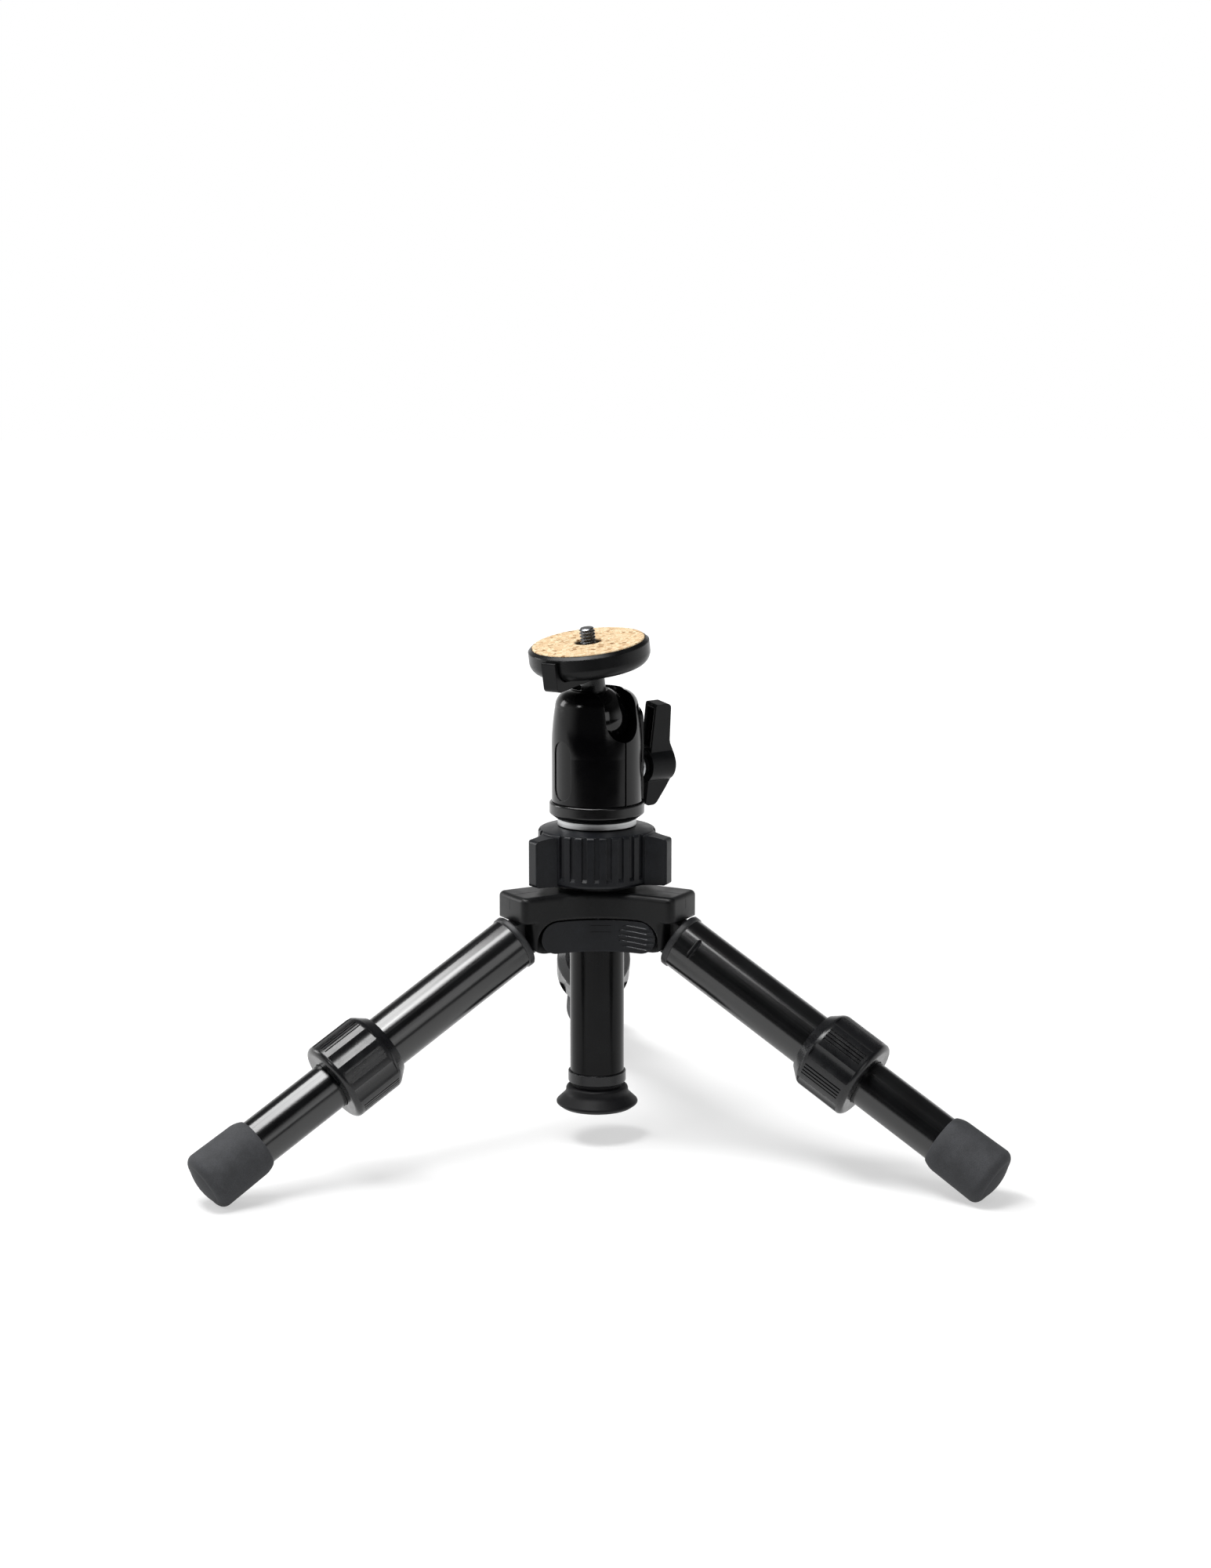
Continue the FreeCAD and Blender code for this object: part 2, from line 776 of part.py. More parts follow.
def hub():
    """Cast hub: cap with three arms, cheeks on both sides of each leg, sleeve for the column."""
    cap = three_arm_slab(arm_reach, cap_bottom, cap_top)
    rim = []
    for edge in cap.Edges:
        flat = edge.BoundBox.ZLength < smallest_run
        if flat and abs(edge.BoundBox.ZMax - cap_top) < smallest_run:
            rim.append(edge)
    cap = cap.makeFillet(arm_edge_round, rim)
    skirt = three_arm_slab(cheek_reach, hub_bottom, cap_bottom)
    sleeve = rod(sleeve_radius, cap_bottom, sleeve_top)
    body = cap.fuse([skirt, sleeve])

    slot_half = tongue_width / 2 + slot_side_gap
    slot_inner = pivot_radius - eye_radius - slot_swing_gap
    slot_outer = arm_reach - slot_end_wall
    swing = eye_radius + slot_swing_gap
    across = (FreeCAD.Vector(pivot_radius, 0, pivot_height), y_axis)
    beyond = arm_reach + overshoot
    low = hub_bottom - overshoot
    opening = block((slot_inner, beyond), (-slot_half, slot_half), (low, pivot_height))
    eye_space = rod_along(swing, -slot_half, slot_half, across)
    slot_ceiling = pivot_height + slot_top_above_pin
    neck_space = block((pivot_radius, slot_outer), (-slot_half, slot_half), (pivot_height, slot_ceiling))
    under_cap = (pivot_height, cap_bottom)
    mouth = block((slot_outer, beyond), (-slot_half, slot_half), under_cap)
    leg_space = opening.fuse([eye_space, neck_space, mouth])
    pin_hole = rod_along(hinge_pin_radius, -hinge_pin_length / 2, hinge_pin_length / 2, across)
    side = arm_half_width + overshoot
    heel = block((pivot_radius, beyond), (-side, side), (low, pivot_height))
    heel = heel.cut(rod_along(cheek_round_radius, -side, side, across))

    bay = hub_bay()
    pin_top = cap_bottom + lever_pin_grip
    lever_pin_hole = Part.makeCylinder(
        lever_pin_radius, pin_top - low, FreeCAD.Vector(lever_pin_distance, 0, low))
    passage_axis = arm_axis(-1, pivot_radius - catch_offset, catch_height())
    passage_radius = catch_radius + catch_passage_gap
    passage_start = slot_half - overshoot
    passage_end = slot_half + cheek_catch_thickness + overshoot
    passage = rod_along(passage_radius, passage_start, passage_end, passage_axis)
    wide_axis = arm_axis(-1, pivot_radius - catch_offset + catch_play, catch_height())
    passage = passage.fuse(rod_along(passage_radius, passage_start, passage_end, wide_axis))
    seat_axis = arm_axis(1, spring_along_arm, spring_height())
    seat_bottom = slot_half + cheek_pad_thickness - spring_cheek_seat
    seat_radius = spring_radius + spring_seat_gap
    seat_end = seat_bottom + spring_cheek_seat + overshoot
    seat = rod_along(seat_radius, seat_bottom, seat_end, seat_axis)

    cuts = [rod(hub_hollow_radius, low, cap_bottom)]
    cuts.append(rod(bush_outer_radius(), low, sleeve_top))
    for heading in leg_headings.values():
        for tool in (leg_space, pin_hole, heel):
            cuts.append(turn(tool, heading))
        for tool in (bay, lever_pin_hole, passage, seat):
            cuts.append(turn(tool, heading + bay_offset))
    return body.cut(cuts)


def hinge_pins():
    """The three pins that the legs turn on."""
    across = (FreeCAD.Vector(pivot_radius, 0, pivot_height), y_axis)
    pin = rod_along(hinge_pin_radius, -hinge_pin_length / 2, hinge_pin_length / 2, across)
    pins = [turn(pin, heading) for heading in leg_headings.values()]
    return Part.makeCompound(pins)


def lever_pins():
    """The three upright pins that the angle levers rock on."""
    bottom = lever_bottom() - lever_pin_head_proud
    head_top = bottom + lever_pin_head_height
    place = FreeCAD.Vector(lever_pin_distance, 0, bottom)
    head = Part.makeCylinder(lever_pin_head_radius, lever_pin_head_height, place)
    shank_length = cap_bottom + lever_pin_grip - head_top
    shank = Part.makeCylinder(lever_pin_radius, shank_length, place + z_axis * lever_pin_head_height)
    pin = head.fuse(shank)
    pins = [turn(pin, heading + bay_offset) for heading in leg_headings.values()]
    return Part.makeCompound(pins)


def lever_top():
    """Upper edge of an angle lever."""
    return cap_bottom - lever_top_gap


def lever_bottom():
    """Lower edge of an angle lever."""
    return lever_top() - lever_height


def spring_height():
    """Height of the return spring behind a lever's pad."""
    return lever_top() - lever_height / 2


def angle_lever():
    """Rocking lever that follows the hub's side: ribbed thumb pad at one end, catch at the other."""
    top = lever_top()
    bottom = lever_bottom()
    elevation = lever_outline(-lever_catch_side, lever_pad_side, bottom, top, lever_end_round, True)
    plate = bay_band(lever_face_inset, lever_thickness, bottom, top).common(elevation)

    strips = []
    for number in range(pad_rib_count):
        height = spring_height() + (number - (pad_rib_count - 1) / 2) * pad_rib_pitch
        half = pad_rib_width / 2
        strips.append(block((0, arm_reach), (0, arm_reach), (height - half, height + half)))
    oval = Part.Ellipse(FreeCAD.Vector(0, 0, 0), pad_half_width, pad_half_height).toShape()
    oval = Part.Face(Part.Wire([oval])).extrude(z_axis * arm_reach)
    oval.rotate(origin, x_axis, 90)
    oval.rotate(origin, z_axis, 90)
    oval.translate(FreeCAD.Vector(0, lever_pad_side - pad_from_end, spring_height()))
    ribs = bay_band(lever_face_inset - pad_rib_height, pad_rib_height + pad_rib_bite, bottom, top)
    ribs = ribs.common(oval).common(strips[0].fuse(strips[1:]))

    boss_place = FreeCAD.Vector(lever_pin_distance, 0, bottom + lever_pin_head_height)
    boss_height = top - bottom - lever_pin_head_height
    boss = Part.makeCylinder(lever_boss_radius, boss_height, boss_place)
    web_end = waist_radius - lever_face_inset - lever_thickness / 2
    web = block((lever_pin_distance, web_end), (-lever_web_half, lever_web_half), (boss_place.z, top))
    catch_axis = arm_axis(-1, pivot_radius - catch_offset, catch_height())
    catch_end = tongue_width / 2 - catch_reach
    catch_root = arm_half_width - lever_face_inset - lever_thickness / 2
    catch = rod_along(catch_radius, catch_end, catch_root, catch_axis)
    lever = plate.fuse([ribs, boss, web, catch])

    pin_space = Part.makeCylinder(
        lever_pin_radius + pin_running_fit,
        boss_height + 2 * overshoot,
        boss_place - z_axis * overshoot)
    seat_axis = arm_axis(1, spring_along_arm, spring_height())
    back = arm_half_width - lever_face_inset - lever_thickness
    seat_radius = spring_radius + spring_seat_gap
    seat = rod_along(seat_radius, back - overshoot, back + spring_lever_seat, seat_axis)
    head_place = FreeCAD.Vector(lever_pin_distance, 0, bottom - overshoot)
    head_space_radius = lever_pin_head_radius + lever_pin_head_gap
    head_space = Part.makeCylinder(head_space_radius, overshoot + lever_pin_head_height, head_place)
    return lever.cut([pin_space, head_space, seat])


def lever_spring():
    """Small coil spring that pushes the thumb pad out."""
    slot_half = tongue_width / 2 + slot_side_gap
    start = slot_half + cheek_pad_thickness - spring_cheek_seat + spring_wire_radius
    end = arm_half_width - lever_face_inset - lever_thickness + spring_lever_seat - spring_wire_radius
    base, direction = arm_axis(1, spring_along_arm, spring_height())
    pitch = (end - start) / spring_turns
    path = Part.makeHelix(pitch, end - start, spring_radius - spring_wire_radius)
    middle = FreeCAD.Vector(spring_radius - spring_wire_radius, 0, 0)
    circle = Part.Wire([Part.Circle(middle, y_axis, spring_wire_radius).toShape()])
    coil = Part.Wire(path.Edges).makePipeShell([circle], True, True)
    coil.Placement = FreeCAD.Placement(base + direction * start, FreeCAD.Rotation(z_axis, direction))
    return coil


def bush_outer_radius():
    """Bore of the hub, which the column bush fills."""
    return column_radius + column_fit + bush_wall


def column_bush():
    """Split plastic bush between hub and column, squeezed by the lock knob."""
    outer = bush_outer_radius() - bush_gap
    start = cap_bottom + bush_gap
    end = cap_top + bush_rise
    bush = pipe(outer, column_radius + column_fit, start, end)
    slits = []
    for index in range(bush_slit_count):
        slit = block((0, outer), (-bush_slit / 2, bush_slit / 2), (end - bush_slit_depth, end))
        slits.append(turn(slit, index * 360 / bush_slit_count))
    return bush.cut(slits)


def column_lock_knob():
    """Round knob with three wings and grooved panels; its thread presses the bush on the column."""
    bore = sleeve_radius + collar_running_fit
    top_bore = column_radius + knob_bore_top_gap
    bore_top = cap_top + bush_rise + knob_floor_gap
    wing_high = knob_bottom + knob_wing_height
    body = turned([
        (bore, knob_bottom),
        (knob_radius, knob_bottom, knob_edge),
        (knob_radius, knob_shoulder, knob_edge),
        (knob_top_radius, knob_top),
        (top_bore, knob_top),
        (top_bore, bore_top),
        (bore, bore_top),
    ])
    half_root = knob_wing_root_width / 2
    half_waist = knob_wing_waist_width / 2
    half_tip = knob_wing_tip_width / 2
    before_tip = knob_wing_tip - knob_wing_corner
    plan = [
        (knob_wing_root, -half_root),
        (knob_wing_waist, -half_waist, before_tip, -half_tip),
        (knob_wing_tip, -half_tip, knob_wing_corner),
        (knob_wing_tip, half_tip, knob_wing_corner),
        (before_tip, half_tip),
        (knob_wing_waist, half_waist, knob_wing_root, half_root),
    ]
    wing = lying_slab(plan, knob_bottom, wing_high + knob_wing_top_slope)
    side = knob_wing_root_width
    slope = standing_slab([
        (0, knob_bottom),
        (knob_wing_tip, knob_bottom, knob_wing_foot_round),
        (knob_wing_tip, wing_high, knob_wing_top_round),
        (knob_radius, wing_high + knob_wing_top_slope),
        (0, wing_high + knob_wing_top_slope),
    ], -side, side)
    wing = wing.common(slope)
    wings = []
    grooves = []
    step = 360 / knob_wing_count
    groove_low = knob_bottom + knob_groove_floor
    groove_half = knob_groove_width / 2
    outside = knob_radius + overshoot
    groove_inner = knob_radius - knob_groove_depth
    groove_high = knob_shoulder + overshoot
    groove = standing_slab([
        (groove_inner, groove_low + knob_groove_ramp),
        (knob_radius, groove_low),
        (outside, groove_low),
        (outside, groove_high),
        (groove_inner, groove_high),
    ], -groove_half, groove_half)
    for index in range(knob_wing_count):
        heading = knob_wing_heading + index * step
        wings.append(turn(wing, heading))
        for number in range(knob_groove_count):
            shift = (number - (knob_groove_count - 1) / 2) * knob_groove_pitch
            grooves.append(turn(groove, heading + step / 2 + shift))
    return body.fuse(wings).cut(grooves)


def column_tube():
    """Centre column tube."""
    top = column_plate_bottom - column_neck_height
    return pipe(column_radius, column_radius - column_wall, column_bottom, top)


def column_top_plate():
    """Aluminium plate on the column, plugged into the tube, with a hole for the head's stud."""
    top = base_bottom
    neck_bottom = column_plate_bottom - column_neck_height
    plug_radius = column_radius - column_wall
    plate = turned([
        (0, neck_bottom - column_plug_length),
        (plug_radius, neck_bottom - column_plug_length),
        (plug_radius, neck_bottom),
        (column_radius, neck_bottom),
        (column_radius, column_plate_bottom),
        (column_top_radius, column_plate_bottom, column_top_edge),
        (column_top_radius, top, column_top_edge),
        (0, top),
    ])
    return plate.cut(rod(stud_radius, top - stud_below, top))


def head_stud():
    """Steel stud that the ball head is screwed on."""
    return rod(stud_radius, base_bottom - stud_below, base_bottom + stud_above)


def column_end_ring():
    """Plastic ring at the column's lower end, plugged into the tube."""
    top = column_bottom + end_ring_lip
    bottom = top - end_ring_height
    ring = turned([
        (0, bottom),
        (end_ring_radius, bottom, end_ring_edge),
        (end_ring_radius, top, end_ring_top_edge),
        (0, top),
    ])
    tube_space = pipe(column_radius, column_radius - column_wall, column_bottom, top)
    plug = rod(column_radius - column_wall, column_bottom, column_bottom + end_plug_length)
    return ring.cut(tube_space).fuse(plug).cut(rod(end_screw_radius, bottom, bottom + end_screw_length))


def column_end_foot():
    """Flared rubber end under the column, with a bead above its skirt, on a short screw."""
    top = column_bottom + end_ring_lip - end_ring_height
    neck = top - end_neck_height
    bead = top - end_bead_drop
    flare = top - end_flare_drop
    lip = flare - end_lip_height
    flared = turned([
        (0, top),
        (end_neck_radius, top),
        (end_neck_radius, neck),
        (end_bead_radius, neck, end_bead_round),
        (end_bead_radius, bead, end_waist_round),
        (end_flare_radius, flare, end_flare_round),
        (end_foot_radius, lip),
        (0, lip),
    ])
    return flared.fuse(rod(end_screw_radius, lip, top + end_screw_length - end_screw_gap))


def head_base():
    """Round base of the ball head, with the spigot that the body turns on."""
    chamfer_top = base_bottom + base_chamfer_height
    base = turned([
        (0, base_bottom),
        (base_foot_radius, base_bottom, base_foot_round),
        (base_radius, chamfer_top, base_round),
        (base_radius, seam_height, base_top_round),
        (spigot_radius, seam_height),
        (spigot_radius, seam_height + spigot_height),
        (0, seam_height + spigot_height),
    ])
    return base.cut(rod(stud_radius, base_bottom, base_bottom + stud_above + stud_end_gap))


def head_body():
    """Slit body of the ball head: dome with a mouth and a drop notch, clamp boss, bare badge recess."""
    shoulder = body_bottom + body_shoulder_height
    top = body_bottom + body_height
    straight = body_bottom + body_straight
    socket = spigot_radius + spigot_fit
    ceiling = seam_height + spigot_height + spigot_end_gap
    side_start = (body_radius, straight)
    dome_start = (body_shoulder_radius, shoulder)
    dome_end = (body_lip_radius, top - body_lip_height)
    body = turned([
        (0, ceiling),
        (socket, ceiling),
        (socket, body_bottom),
        (body_radius, body_bottom),
        side_start,
        bowed(side_start, dome_start, body_side_bow),
        bowed(dome_start, dome_end, body_dome_bow),
        (body_mouth_radius + body_lip_wall, top),
        (0, top),
    ])
    half = boss_half_width
    boss_high = body_bottom + boss_top
    face_outline = [
        (clamp_across, body_bottom),
        (clamp_across + half, body_bottom),
        (clamp_across + half, boss_high, half),
        (clamp_across - half, boss_high, half),
        (clamp_across - half, body_bottom),
    ]
    boss = standing_slab(face_outline, boss_root, boss_face)
    outside = body_radius + overshoot
    spot = standing_slab(face_outline, boss_face, outside)
    screw_line = (FreeCAD.Vector(clamp_across, 0, clamp_centre), y_axis)
    washer_spot = rod_along(washer_radius + washer_spot_gap, boss_face, outside, screw_line)
    body = body.fuse(boss).cut([spot, washer_spot])
    pan_socket = rod(socket, body_bottom, ceiling)

    centre = FreeCAD.Vector(0, 0, ball_centre)
    cavity = Part.makeSphere(ball_radius + ball_fit, centre)
    above = top + overshoot
    mouth = rod(body_mouth_radius, ball_centre + mouth_bore_from_ball, above)
    travel = radians(seat_travel_angle)
    seat_outer = ball_radius + ball_fit + seat_wall + ball_fit
    travel_cone = Part.makeCone(0, seat_outer * tan(travel), seat_outer, centre, -z_axis)
    seat_space = Part.makeSphere(seat_outer, centre).common(travel_cone)
    side = notch_half_width
    notch = block((0, outside), (-side, side), (ball_centre, above))
    notch = notch.fuse(Part.makeCylinder(side, outside, centre, x_axis))
    slit_half = slit_width / 2
    slit = block((-slit_behind_axis, outside), (-slit_half, slit_half), (body_bottom, ball_centre))

    hole_end = -clamp_screw_tail - clamp_screw_end_gap
    thread_hole = rod_along(clamp_screw_radius + clamp_thread_fit, hole_end, 0, screw_line)
    free_hole = rod_along(clamp_screw_radius + clamp_clearance, 0, outside, screw_line)

    badge_low = body_bottom + badge_above_seam
    badge_high = badge_low + badge_height
    round_half = badge_width / 2
    badge_outline = [
        (0, badge_low),
        (round_half, badge_low, round_half),
        (round_half, badge_high, round_half),
        (-round_half, badge_high, round_half),
        (-round_half, badge_low, round_half),
    ]
    badge = standing_slab(badge_outline, -outside, -body_radius / 2)
    badge = badge.cut(rod(body_radius - badge_depth, badge_low, badge_high))
    inner_cuts = [pan_socket, cavity, mouth, seat_space, notch, slit]
    return body.cut(inner_cuts + [thread_hole, free_hole, badge])


def clamp_screw_end():
    """Outer end of the clamp screw, inside the knob."""
    return boss_face + washer_thickness + clamp_hub_back + clamp_screw_in_knob


def clamp_screw():
    """Screw across the slit of the head's body."""
    screw_line = (FreeCAD.Vector(clamp_across, 0, clamp_centre), y_axis)
    return rod_along(clamp_screw_radius, -clamp_screw_tail, clamp_screw_end(), screw_line)


def clamp_washer():
    """Washer between the clamp knob and the boss."""
    screw_line = (FreeCAD.Vector(clamp_across, 0, clamp_centre), y_axis)
    end = boss_face + washer_thickness
    washer = rod_along(washer_radius, boss_face, end, screw_line)
    return washer.cut(rod_along(clamp_screw_radius + clamp_thread_fit, boss_face, end, screw_line))


def clamp_knob():
    """Lever knob of the ball clamp: one long blade, a short tail and a hollow back."""
    back = boss_face + washer_thickness + clamp_knob_gap
    hub_start = boss_face + clamp_hub_back
    blade_back = hub_start + clamp_blade_setback
    tail = -clamp_blade_tail
    top = clamp_blade_top
    tip = blade_back + clamp_blade_depth
    bulge = blade_back + clamp_bulge
    screw_line = (origin, y_axis)
    hub_part = rod_along(clamp_hub_radius, hub_start, hub_start + clamp_hub_length, screw_line)
    neck = rod_along(clamp_neck_radius, back, hub_start, screw_line)
    blade = standing_slab([
        (blade_back, 0),
        (blade_back, top, clamp_edge_round),
        (tip, top, clamp_tip_round),
        (tip + clamp_shelf_out, clamp_shelf_height, clamp_shelf_round),
        (bulge, clamp_bulge_half, clamp_bulge_round),
        (bulge, -clamp_bulge_half, clamp_bulge_round),
        (bulge - clamp_crease_inset, -clamp_crease_drop, clamp_crease_round),
        (blade_back + clamp_tail_depth, tail, clamp_tail_round),
        (blade_back, tail, clamp_heel_round),
    ], -clamp_blade_half, clamp_blade_half)
    blade.rotate(origin, z_axis, 90)
    hollow = block(
        (-clamp_hollow_half, clamp_hollow_half),
        (blade_back - overshoot, blade_back + clamp_hollow_depth),
        (clamp_hub_radius + clamp_hollow_margin, top - clamp_hollow_end_wall))
    knob = blade.fuse([hub_part, neck]).cut(hollow)
    knob = knob.cut(rod_along(clamp_screw_radius, back, clamp_screw_end(), screw_line))
    knob.rotate(origin, y_axis, clamp_tilt)
    knob.translate(FreeCAD.Vector(clamp_across, 0, clamp_centre))
    return knob


def ball_seat():
    """Shallow friction cup under the ball, which follows the ball when it leans."""
    inner = ball_radius + ball_fit
    outer = inner + seat_wall
    angle = radians(seat_half_angle)
    half = angle / 2
    cup = turned([
        (inner * sin(angle), -inner * cos(angle)),
        (inner * sin(half), -inner * cos(half), 0, -inner),
        (0, -outer),
        (outer * sin(half), -outer * cos(half), outer * sin(angle), -outer * cos(angle)),
    ])
    cup.translate(z_axis * ball_centre)
    return cup


def ball():
    """Ball with a flat on top and the bore that the stem turns in."""
    sphere = Part.makeSphere(ball_radius)
    above = rod(ball_radius, ball_flat, ball_radius)
    bore = rod(stem_radius + stem_fit, -ball_radius, ball_radius)
    counterbore = rod(stem_foot_radius + stem_fit, -ball_radius, stem_foot_height - stem_foot_depth)
    return sphere.cut([above, bore, counterbore])


def stem():
    """Stem between ball and camera plate, with a wider foot that holds it in the ball."""
    foot_bottom = -stem_foot_depth
    foot_top = stem_foot_height - stem_foot_depth - stem_foot_fit
    bar = rod(stem_radius, foot_bottom, plate_rim_height)
    foot = rod(stem_foot_radius, foot_bottom, foot_top)
    screw_bottom = plate_rim_height - camera_screw_buried
    return bar.fuse(foot).cut(rod(camera_screw_shank_radius, screw_bottom, plate_rim_height))


def camera_plate():
    """Round camera plate: upright rim, bowl-shaped belly and a pocket for the lock lever's ring."""
    seat_floor = plate_rim_height + cork_seat
    edge_top = plate_rim_height + plate_chamfer_height
    seat_radius = cork_radius + cork_gap
    belly_start = (plate_belly_radius, plate_belly_height)
    wall_start = (plate_radius, plate_wall_bottom)
    return turned([
        (stem_radius, plate_pocket_top),
        (plate_pocket_radius, plate_pocket_top),
        (plate_pocket_radius, plate_hub_height),
        belly_start,
        bowed(belly_start, wall_start, plate_belly_bow),
        (plate_radius, plate_rim_height),
        (plate_radius - plate_chamfer, edge_top),
        (seat_radius, edge_top),
        (seat_radius, seat_floor),
        (stem_radius, seat_floor),
    ])


def cork_pad():
    """Cork pad in the camera plate."""
    bottom = plate_rim_height + cork_seat
    return pipe(cork_radius, cork_hole_radius, bottom, bottom + cork_thickness)


def camera_screw():
    """Quarter-inch camera screw, with a thinner shank that is set in the stem."""
    bottom = plate_rim_height - camera_screw_buried
    top = plate_rim_height + cork_seat + cork_thickness + camera_screw_proud
    tip = camera_screw_radius - camera_screw_chamfer
    return turned([
        (0, bottom),
        (camera_screw_shank_radius, bottom),
        (camera_screw_shank_radius, plate_rim_height),
        (camera_screw_radius, plate_rim_height),
        (camera_screw_radius, top - camera_screw_chamfer),
        (tip, top),
        (0, top),
    ])


def plate_lock_lever():
    """Lock lever under the camera plate: threaded ring on the stem, with a fin that ends upright."""
    inner = stem_radius + lever_ring_fit
    ring = turned([
        (inner, lever_ring_bottom),
        (lever_ring_nose, lever_ring_bottom),
        (lever_ring_radius, lever_ring_bottom + lever_ring_chamfer),
        (lever_ring_radius, lever_ring_top),
        (inner, lever_ring_top),
    ])
    rim = plate_radius + fin_rim_gap
    under_wall = (rim, plate_wall_bottom)
    under_belly = (plate_belly_radius + fin_rim_gap, plate_belly_height - fin_rim_gap)
    fin = standing_slab([
        (lever_ring_nose, lever_ring_bottom),
        (fin_tip_radius, fin_tip_bottom, fin_tip_round),
        (fin_tip_radius, fin_tip_top, fin_top_round),
        (rim, fin_tip_top),
        under_wall,
        bowed(under_wall, under_belly, -plate_belly_bow),
        (lever_ring_nose, plate_hub_height - fin_rim_gap),
    ], -fin_half_width, fin_half_width)
    return turn(ring.fuse(fin), fin_heading)


os.makedirs("parts", exist_ok=True)

leg_pieces = {
    "hinge_casting": leg_hinge_casting(),
    "upper_tube": leg_upper_tube(),
    "collar": leg_collar(),
    "collet": leg_collet(),
    "lower_tube": leg_lower_tube(),
    "guide_ring": leg_guide_ring(),
    "foot": leg_foot(),
}
for side, heading in leg_headings.items():
    for name, piece in leg_pieces.items():
        if name == "collar":
            piece = turn(piece, collar_turns[side])
        lay_leg(piece, heading).exportStep(f"parts/leg_{side}_{name}.step")

lever_shape = angle_lever()
spring_shape = lever_spring()
for side, heading in leg_headings.items():
    bay_heading = heading + bay_offset
    turn(lever_shape, bay_heading).exportStep(f"parts/angle_lever_{side}.step")
    turn(spring_shape, bay_heading).exportStep(f"parts/lever_spring_{side}.step")

hub().exportStep("parts/hub.step")
hinge_pins().exportStep("parts/hinge_pins.step")
lever_pins().exportStep("parts/lever_pins.step")
column_bush().exportStep("parts/column_bush.step")
column_lock_knob().exportStep("parts/column_lock_knob.step")
column_tube().exportStep("parts/column_tube.step")
column_top_plate().exportStep("parts/column_top_plate.step")
head_stud().exportStep("parts/head_stud.step")
column_end_ring().exportStep("parts/column_end_ring.step")
column_end_foot().exportStep("parts/column_end_foot.step")

head_base().exportStep("parts/head_base.step")
place_head(head_body()).exportStep("parts/head_body.step")
place_head(clamp_screw()).exportStep("parts/clamp_screw.step")
place_head(clamp_washer()).exportStep("parts/clamp_washer.step")
place_head(clamp_knob()).exportStep("parts/clamp_knob.step")
place_head(ball_seat()).exportStep("parts/ball_seat.step")
place_stem(ball()).exportStep("parts/ball.step")
place_stem(stem()).exportStep("parts/stem.step")
place_stem(camera_plate()).exportStep("parts/camera_plate.step")
place_stem(cork_pad()).exportStep("parts/cork_pad.step")
place_stem(camera_screw()).exportStep("parts/camera_screw.step")
place_stem(plate_lock_lever()).exportStep("parts/plate_lock_lever.step")
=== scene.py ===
import json
from math import radians, cos, sin, pi, tau
import bpy
import bmesh
from mathutils import Matrix, Vector, noise
from mathutils.bvhtree import BVHTree


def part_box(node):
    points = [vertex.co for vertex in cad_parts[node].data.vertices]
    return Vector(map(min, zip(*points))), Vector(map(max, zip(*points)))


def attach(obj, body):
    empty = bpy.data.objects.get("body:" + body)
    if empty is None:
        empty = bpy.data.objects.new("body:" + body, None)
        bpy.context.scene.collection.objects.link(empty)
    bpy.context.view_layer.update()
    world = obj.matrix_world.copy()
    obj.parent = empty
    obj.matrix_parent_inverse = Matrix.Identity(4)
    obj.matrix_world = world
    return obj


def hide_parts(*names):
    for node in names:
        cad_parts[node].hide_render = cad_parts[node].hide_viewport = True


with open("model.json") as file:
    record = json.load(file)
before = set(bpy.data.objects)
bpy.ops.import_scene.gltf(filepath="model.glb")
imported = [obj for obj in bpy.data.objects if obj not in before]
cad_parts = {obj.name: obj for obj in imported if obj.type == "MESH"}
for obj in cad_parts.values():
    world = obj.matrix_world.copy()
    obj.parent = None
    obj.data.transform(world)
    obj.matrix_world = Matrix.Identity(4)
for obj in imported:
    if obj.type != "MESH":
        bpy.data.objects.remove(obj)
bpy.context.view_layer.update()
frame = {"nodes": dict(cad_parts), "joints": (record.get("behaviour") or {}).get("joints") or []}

mm = 0.001
nodes = frame["nodes"]
joints = {joint["name"]: joint for joint in frame["joints"]}
print("frame loaded:", len(nodes), "pieces")


def linearColour(code):
    # sRGB hex to the linear values that the shaders want
    channels = [int(code[i:i + 2], 16) / 255 for i in (1, 3, 5)]
    linear = [c / 12.92 if c <= 0.04045 else ((c + 0.055) / 1.055) ** 2.4 for c in channels]
    return (*linear, 1.0)


def addNode(material, kind, links=None, **settings):
    # adds a node; links holds socket name or number -> plain value or another node's output
    node = material.node_tree.nodes.new(kind)
    for name, value in settings.items():
        setattr(node, name, value)
    for socket, value in (links or {}).items():
        if isinstance(value, bpy.types.NodeSocket):
            material.node_tree.links.new(value, node.inputs[socket])
        else:
            node.inputs[socket].default_value = value
    return node


def newMaterial(name):
    material = bpy.data.materials.new(name)
    material.use_nodes = True
    material.node_tree.nodes.clear()
    return material


def remap(material, value, span, reach, easing="LINEAR"):
    # carries a value over from the span to the reach
    return addNode(material, "ShaderNodeMapRange",
                   {"Value": value, "From Min": span[0], "From Max": span[1],
                    "To Min": reach[0], "To Max": reach[1]}, interpolation_type=easing).outputs["Result"]


def combine(material, operation, first, second):
    node = addNode(material, "ShaderNodeMath", {0: first, 1: second}, operation=operation)
    return node.outputs["Value"]


def noiseTexture(material, place, scale, detail, **sockets):
    return addNode(material, "ShaderNodeTexNoise",
                   {"Vector": place, "Scale": scale, "Detail": detail, **sockets}).outputs


def colourRamp(material, factor, stops):
    # stops are (place, hex colour)
    ramp = addNode(material, "ShaderNodeValToRGB", {"Fac": factor})
    elements = ramp.color_ramp.elements
    while len(elements) < len(stops):
        elements.new(0.5)
    for element, (place, code) in zip(elements, stops):
        element.position = place
        element.color = linearColour(code)
    return ramp.outputs["Color"]


